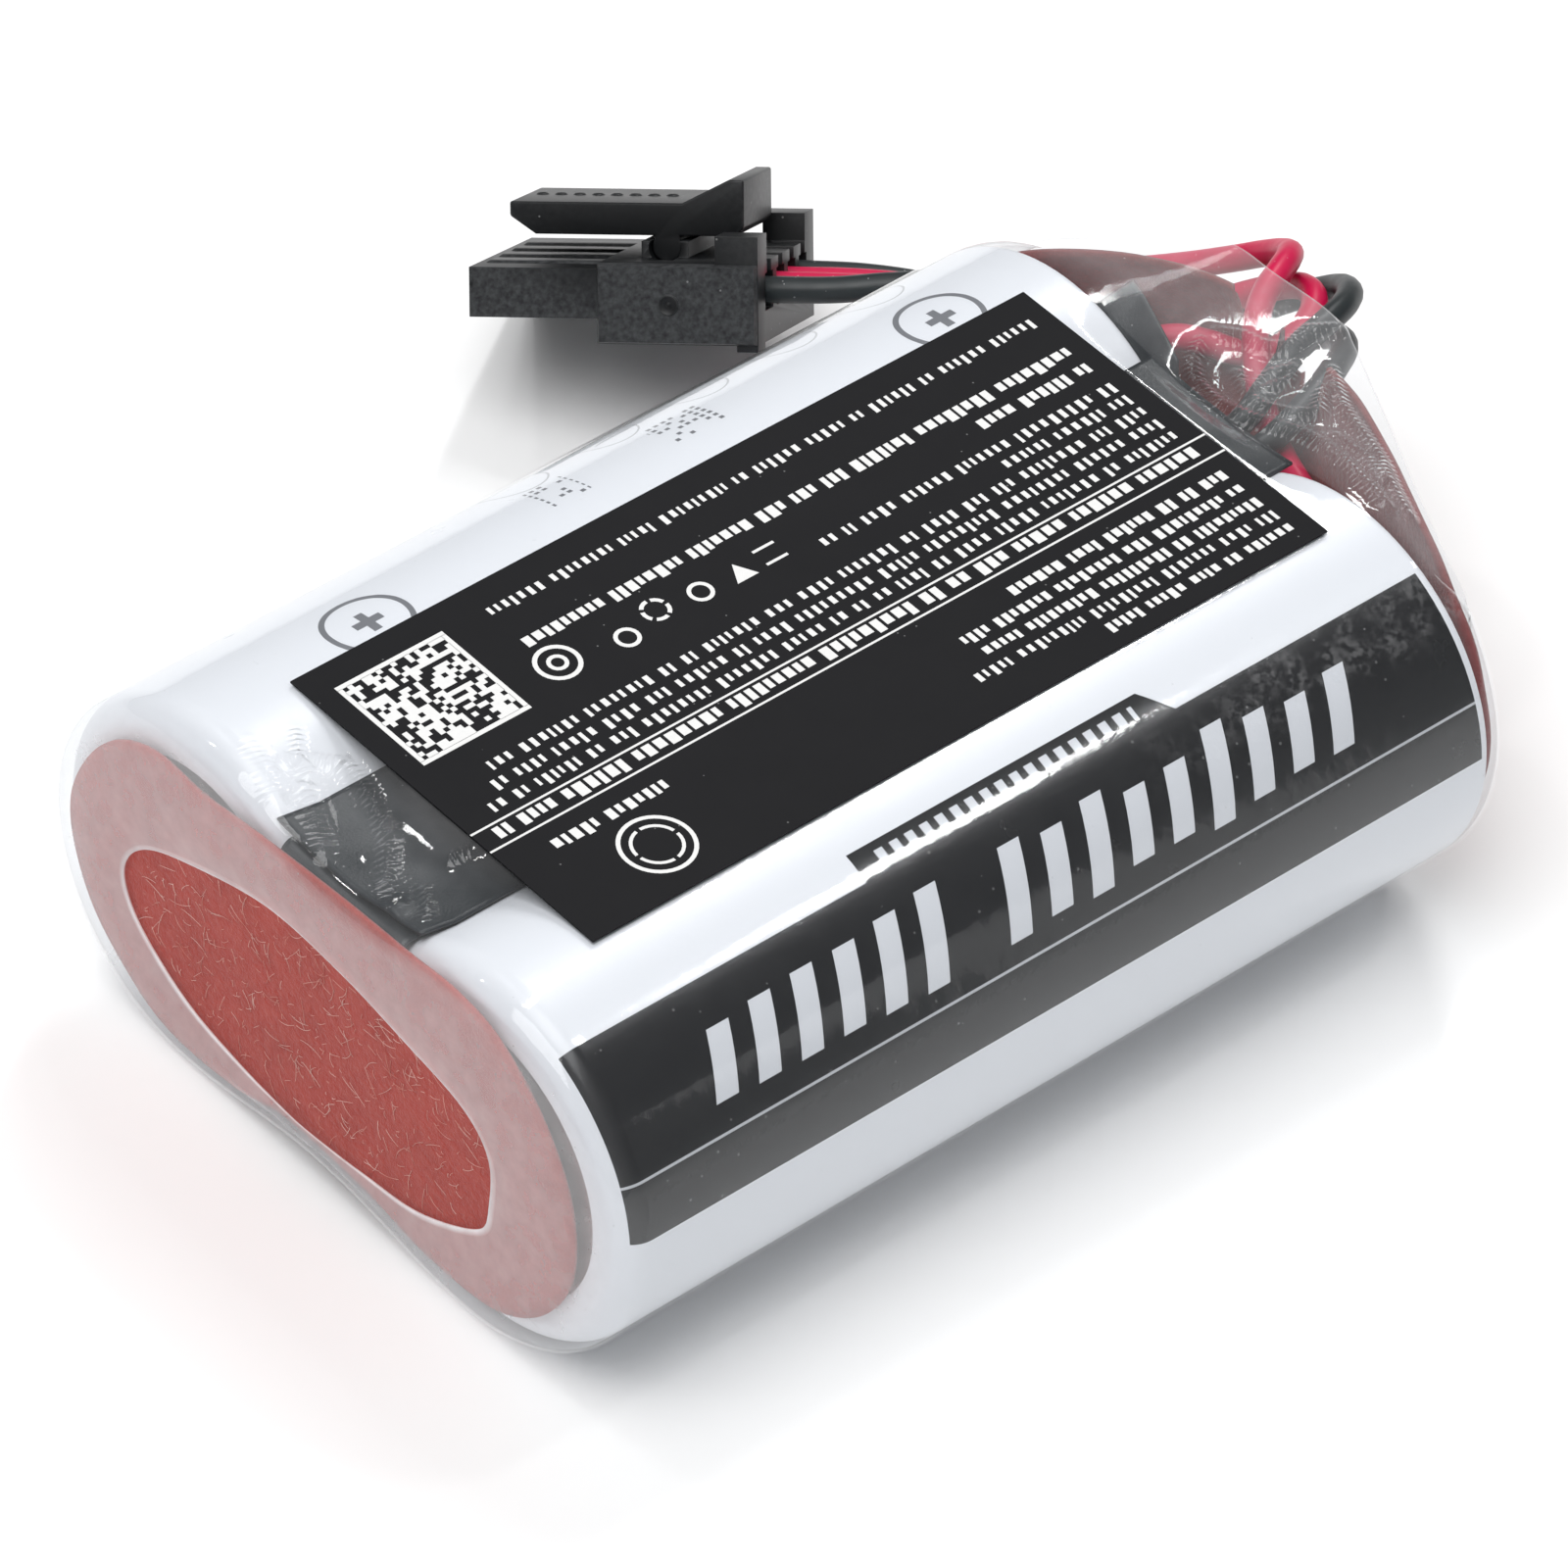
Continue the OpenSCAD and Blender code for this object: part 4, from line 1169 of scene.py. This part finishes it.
def makeFilm():
    p = film
    outer = section(filmR)
    angles = angleRound(outer[:, 0], outer[:, 1] - midZ)
    rings, hazeAndEdgeGlint, drawn = [], [], []

    def add(points, hazeAndSheen, pull):
        rings.append(points)
        hazeAndEdgeGlint.append(np.broadcast_to(np.asarray(hazeAndSheen, float), (outlineCount,)))
        drawn.append(np.broadcast_to(np.asarray(pull, float), (outlineCount,)))

    def ringAt(x, yz):
        x = np.broadcast_to(np.asarray(x, float), (outlineCount,))
        return np.column_stack([x, yz[:, 0], yz[:, 1]])

    def onSheet(yz):
        return leadSheet["x"] + bulgeAt(yz[:, 0], yz[:, 1]) + p["sheetGap"]

    # base end: from the eye's edge out to the shoulder
    faceX = filmX0 - p["faceProud"]
    eyeLoop = smoothLoop(eyeRim, p["eyeCount"])
    eyeMid = np.array(p["eyeMid"])
    eyeAngle = angleRound(*(eyeLoop - eyeMid).T)
    rim = section(filmR - p["shoulder"], p["baseDip"], p["baseDipBottom"])
    rimAngle = angleRound(*(rim - eyeMid).T)
    rimTurn = np.radians(rimAngle)
    eye = aboutAngle(rimAngle, eyeAngle, eyeLoop, 2)
    for k in range(p["faceRings"] + 1):
        share = 1 - k / p["faceRings"]
        yz = rim * (1 - share) + eye * share
        puff = p["puff"] * math.sin(math.pi * min(1.0, (1 - share) * 1.15)) * (1 + 0.5 * np.sin(rimTurn * 3))
        folds = p["fold"] * np.sin(rimTurn * 11) * (1 - share) * share * 4
        # the eye's cut edge gets a painted highlight line, added to the haze
        paintedEdgeGlint = 0.5 if k == 0 else 0.0
        add(ringAt(faceX - puff - folds, yz), 0.25 + 0.06 * share + paintedEdgeGlint, 0.1)
    for k in range(1, p["shoulderRings"] + 1):
        share = k / p["shoulderRings"]
        turn = math.pi / 2 * (1 - share)
        radius = filmR - p["shoulder"] * (1 - math.cos(turn))
        x = faceX + p["shoulder"] * (1 - math.sin(turn))
        add(ringAt(x, section(radius, p["baseDip"], p["baseDipBottom"])), 0.03 + 0.24 * (1 - share) ** 2, 0.3)
    # along the cells, drawn in between them at both ends
    stops = list(np.linspace(p["bodyFrom"], -19.5, 46)) + list(np.linspace(-19, 21, 60))
    stops += list(np.linspace(21.3, p["bodyTo"], 22))
    for x in stops:
        baseSide = float(ease((-20.9 - x) / 3.6))
        leadSide = float(ease((x - 22.0) / 2.5))
        dip = p["baseDip"] * baseSide + p["leadDip"] * leadSide
        dipBottom = p["baseDipBottom"] * baseSide + p["leadDipBottom"] * leadSide
        yz = section(filmR, dip, dipBottom)
        top = np.clip(1 - (yz[:, 0] / 6.5) ** 2, 0, 1) * (yz[:, 1] > midZ)
        valley = top * max(baseSide, leadSide)
        free = top * (1 - baseSide) * float(x < -18)
        add(ringAt(x, yz), 0.01 + 0.01 * valley + 0.06 * free, 0.06 + 0.5 * valley + 0.4 * free)
    # lead end: the hood over the leads, and the lip round the rest
    lip = np.array(p["lip"], float)
    edge = np.concatenate([np.array(p["hood"], float), np.column_stack([onSheet(lip), lip])])
    edgeAngle = angleRound(edge[:, 1], edge[:, 2] - midZ)
    end = aboutAngle(angles, edgeAngle, edge, 4)
    hood = between(angles, p["hoodFrom"], p["hoodTo"])
    startYz = section(filmR, p["leadDip"], p["leadDipBottom"])
    turnedYz = section(filmR - p["lipTurn"], p["leadDip"], p["leadDipBottom"])
    turnedX = onSheet(turnedYz)
    for k in range(1, p["tentRings"] + 1):
        share = k / p["tentRings"]
        turn = min(1.0, share / p["lipShare"]) * math.pi / 2
        yz = startYz + (turnedYz - startYz) * (1 - math.cos(turn))
        x = p["bodyTo"] + (turnedX - p["bodyTo"]) * math.sin(turn)
        if share > p["lipShare"]:
            yz = turnedYz + (end[:, 1:] - turnedYz) * (share - p["lipShare"]) / (1 - p["lipShare"])
            x = onSheet(yz)
        lipPoint = ringAt(x, yz)
        rise = float(ease(share)) ** 0.8
        bend = p["hoodBend"] * math.sin(math.pi * share)
        hoodPoint = np.column_stack([p["bodyTo"] + (end[:, 0] - p["bodyTo"]) * share,
                                     startYz[:, 0] + (end[:, 1] - startYz[:, 0]) * ease(share),
                                     startYz[:, 1] + (end[:, 2] - startYz[:, 1]) * rise + bend])
        # the hood's free edge gets a painted highlight line, added to the haze
        paintedEdgeGlint = 0.3 * float(share == 1.0)
        add(lipPoint * (1 - hood[:, None]) + hoodPoint * hood[:, None],
            0.04 + 0.1 * hood * min(1.0, share * 3) + paintedEdgeGlint, 0.12 + 0.12 * hood)
    points = np.concatenate(rings)
    hazeAndEdgeGlint = np.concatenate(hazeAndEdgeGlint)
    drawn = np.concatenate(drawn)
    # ridges and slackness on the upper side
    upper = ease((points[:, 2] - 15.5) / 1.5)
    lift, nearest, run = ridgeLift(points[:, 0], points[:, 1])
    points[:, 2] += lift * upper
    drawn = np.clip(drawn + nearest * upper * 0.5, 0, 1)
    x, y = points[:, 0], points[:, 1]
    slack = p["slack"] * np.sin(x * 1.9 + y * 1.1) * np.sin(y * 1.7 - x)
    points[:, 2] += slack * upper * ease((-x - 22.5) / 2)
    piece = meshPiece("shrink_film_shell", points, stripFaces(len(rings), outlineCount, True), clearFilm)
    # the near band's right half, where the painted reflection in patches goes
    nearAngle = angleRound(points[:, 1] + cellY, points[:, 2] - midZ)
    patchSheenMask = ease((points[:, 0] - 4) / 12) * between(nearAngle, p["sheenPatchFrom"], p["sheenPatchTo"])
    patchSheenMask = patchSheenMask * (points[:, 0] < 25)
    # the stretched far edge of the hood is duller
    packAngle = angleRound(points[:, 1], points[:, 2] - midZ)
    calm = ease((points[:, 0] - 24.0) / 1.5) * between(packAngle, p["calmFrom"], p["calmTo"])
    fields = {"hazeAndEdgeGlint": hazeAndEdgeGlint, "drawn": drawn, "patchSheenMask": patchSheenMask, "run": run, "calm": calm,
              "ridge": nearest * upper}
    for name, values in fields.items():
        layer = piece.data.attributes.new(name, "FLOAT", "POINT")
        layer.data.foreach_set("value", values.astype(np.float32))
    thicken(piece, p["wall"], -1.0)
    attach(piece, "pack")
    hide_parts("shrink_film")


makeFilm()
print("film shrunk on")


# label

def labelMaterial():
    material, tree = startMaterial("labelInk")
    broad = grainAt(tree, 3.0, 1.5)
    fine = grainAt(tree, 0.6, 0.6)
    dust = specksAt(tree, 0.9, 0.05)
    base = tint(tree, spread(tree, broad, 0.0, 0.5), (0.0105, 0.0105, 0.012, 1), (0.014, 0.014, 0.0155, 1))
    base = tint(tree, times(tree, dust, 0.3), base, (0.4, 0.4, 0.4, 1))
    endPrincipled(tree, base, spread(tree, fine, 0.6, 0.66), specular=0.12)
    return material


def markMaterial():
    material, tree = startMaterial("labelMarks")
    grain = grainAt(tree, 0.2, 1.5)
    base = tint(tree, spread(tree, grain, 0.0, 0.4), (0.8, 0.8, 0.79, 1), (0.66, 0.66, 0.66, 1))
    endPrincipled(tree, base, spread(tree, grain, 0.5, 0.65), specular=0.3)
    return material


dress("label", labelMaterial())

marks = {
    "rise": 0.014, "sunk": 0.02, "start": 20.7, "ruleHalf": 0.055,
    # each line: middle across, height, where it ends, weight
    "lines": [(-8.75, 0.62, 9.8, 0.8), (-7.7, 0.62, 3.2, 0.6), (-6.65, 0.62, 4.3, 0.8),
              (-5.6, 0.62, 4.3, 0.8), (-4.5, 0.68, 8.4, 0.9), (-2.62, 0.8, -19.4, 0.9),
              (-1.3, 0.66, -18.4, 0.6), (-0.3, 0.66, -17.4, 0.6), (0.7, 0.66, -16.9, 0.6),
              (1.7, 0.66, 13.2, 0.6), (2.7, 0.66, 3.4, 0.6), (4.3, 0.72, 14.4, 0.9),
              (5.6, 0.72, -10.9, 0.9), (8.0, 0.62, -10.6, 0.6)],
    "rules": [(-3.28, -20.2, 21.8), (-2.0, -20.2, 21.8)],
    # square block: corner, side, cells along a side, share filled, border
    "block": {"corner": (-18.8, 2.65), "side": 5.5, "cells": 21, "filled": 0.52, "border": 0.22, "lap": 0.02},
    # plain rings: place, radius, width, parts, and which parts are gaps
    "rings": [(-10.4, 3.9, 1.1, 0.22, 28, 0), (-10.4, 3.9, 0.5, 0.2, 16, 0), (-7.0, 3.3, 0.62, 0.2, 20, 0),
              (-4.9, 3.9, 0.72, 0.2, 20, 4), (-2.6, 3.6, 0.62, 0.2, 20, 0), (-14.3, -7.1, 1.75, 0.2, 40, 0),
              (-14.3, -7.1, 1.2, 0.16, 32, 8)],
    "triangle": [(-1.0, 3.0), (0.2, 3.0), (-0.4, 4.1)],
    "dashes": [(0.8, 2.0, 3.1, 3.25), (0.8, 2.0, 4.05, 4.2)],
    "lastLine": (-4.6, 0.72, -11.6, -17.6, 0.8),
}


def makeMarks():
    dice = random.Random(5)
    points, faces = [], []
    low = labelTop - marks["sunk"]
    high = labelTop + marks["rise"]

    def prism(loop):
        # one thin printed patch with the given plan outline
        first = len(points)
        count = len(loop)
        points.extend((x, y, low) for x, y in loop)
        points.extend((x, y, high) for x, y in loop)
        faces.append(tuple(first + count + k for k in range(count)))
        faces.append(tuple(first + k for k in reversed(range(count))))
        for k in range(count):
            after = (k + 1) % count
            faces.append((first + k, first + after, first + count + after, first + count + k))

    def patch(x0, x1, y0, y1):
        prism([(x0, y0), (x1, y0), (x1, y1), (x0, y1)])

    def ring(x, y, radius, width, parts, gaps):
        for k in range(parts):
            if gaps and k % gaps == 0:
                continue
            a, b = 2 * math.pi * k / parts, 2 * math.pi * (k + 1) / parts
            inner = radius - width
            corners = ((inner, a), (radius, a), (radius, b), (inner, b))
            prism([(x + far * math.cos(turn), y + far * math.sin(turn)) for far, turn in corners])

    def row(middle, height, start, stop, weight):
        # plain blocks in groups, like words seen from too far to read
        x = start
        left = dice.randint(2, 9)
        while x > stop:
            width = height * dice.uniform(0.38, 0.72)
            tall = height * dice.choice((0.72, 0.72, 1.0, 0.86))
            foot = middle + height / 2
            patch(x - width * weight, x, foot - tall, foot)
            x -= width + height * 0.16
            left -= 1
            if left == 0:
                x -= height * 0.5
                left = dice.randint(2, 9)

    for middle, height, stop, weight in marks["lines"]:
        row(middle, height, marks["start"], stop, weight)
    for middle, x0, x1 in marks["rules"]:
        patch(x0, x1, middle - marks["ruleHalf"], middle + marks["ruleHalf"])
    # square block of plain cells in a border
    block = marks["block"]
    x0, y0 = block["corner"]
    x1, y1 = x0 + block["side"], y0 + block["side"]
    wide, lap = block["border"], block["lap"]
    patch(x0 - wide, x1 + wide, y0 - wide, y0 + lap)
    patch(x0 - wide, x1 + wide, y1 - lap, y1 + wide)
    patch(x0 - wide, x0 + lap, y0, y1)
    patch(x1 - lap, x1 + wide, y0, y1)
    step = block["side"] / block["cells"]
    for i in range(block["cells"]):
        for j in range(block["cells"]):
            if dice.random() < block["filled"]:
                patch(x0 + i * step, x0 + (i + 1) * step, y0 + j * step, y0 + (j + 1) * step)
    # plain round signs, a triangle and two dashes
    for sign in marks["rings"]:
        ring(*sign)
    prism(marks["triangle"])
    for dash in marks["dashes"]:
        patch(*dash)
    row(*marks["lastLine"])
    piece = meshPiece("label_marks", points, faces, markMaterial(), smooth=False)
    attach(piece, "pack")


makeMarks()
print("label printed")


# floor and lights

def makeFloor():
    material, tree = startMaterial("paleFloor")
    grain = grainAt(tree, 40.0, 0.4)
    base = tint(tree, grain, (0.93, 0.93, 0.93, 1), (0.95, 0.95, 0.95, 1))
    endPrincipled(tree, base, 0.6, specular=0.2)
    half, low = 3000.0, -0.02
    corners = [(-half, -half, low), (half, -half, low), (half, half, low), (-half, half, low)]
    floor = meshPiece("floor", corners, [(0, 1, 2, 3)], material)


def softLight(name, toward, distance, wide, tall, power):
    data = bpy.data.lights.new(name, "AREA")
    data.shape = "RECTANGLE"
    data.size = wide
    data.size_y = tall
    data.energy = power
    lamp = bpy.data.objects.new(name, data)
    direction = Vector(toward).normalized()
    lamp.location = Vector((0, 0, midZ * mm)) + direction * distance
    lamp.rotation_mode = "QUATERNION"
    lamp.rotation_quaternion = direction.to_track_quat("Z", "X")
    bpy.context.scene.collection.objects.link(lamp)


# toward, distance in metres, width, height, watts
lights = {
    "overhead": ((-0.35, -0.05, 0.93), 0.7, 0.5, 0.5, 3.6),
    "crownStrip": ((0.515, 0.387, 0.764), 0.6, 0.3, 0.03, 0.9),
    "lowStrip": ((0.515, -0.82, 0.22), 0.6, 0.3, 0.04, 0.035),
    "leftGlint": ((-0.15, 0.52, 0.85), 0.6, 0.04, 0.04, 0.2),
    "frontGlint": ((0.51, -0.16, 0.85), 0.6, 0.04, 0.04, 0.2),
    "hoodGlint": ((0.3, 0.3, 0.9), 0.6, 0.03, 0.03, 0.12),
}
makeFloor()
for lamp, facts in lights.items():
    softLight(lamp, *facts)


def makeWorld():
    # an even pale room, dimmer where it is only mirrored
    world = bpy.data.worlds.new("paleRoom")
    world.use_nodes = True
    tree = world.node_tree
    tree.nodes.clear()
    seen = place(tree, "LightPath").outputs["Is Glossy Ray"]
    back = place(tree, "Background", {"Color": (1, 1, 1, 1), "Strength": spread(tree, seen, 0.34, 0.13)})
    output = tree.nodes.new("ShaderNodeOutputWorld")
    tree.links.new(back.outputs[0], output.inputs["Surface"])
    bpy.context.scene.world = world


makeWorld()
bpy.context.scene.view_settings.view_transform = "Standard"
print("floor and lights set")
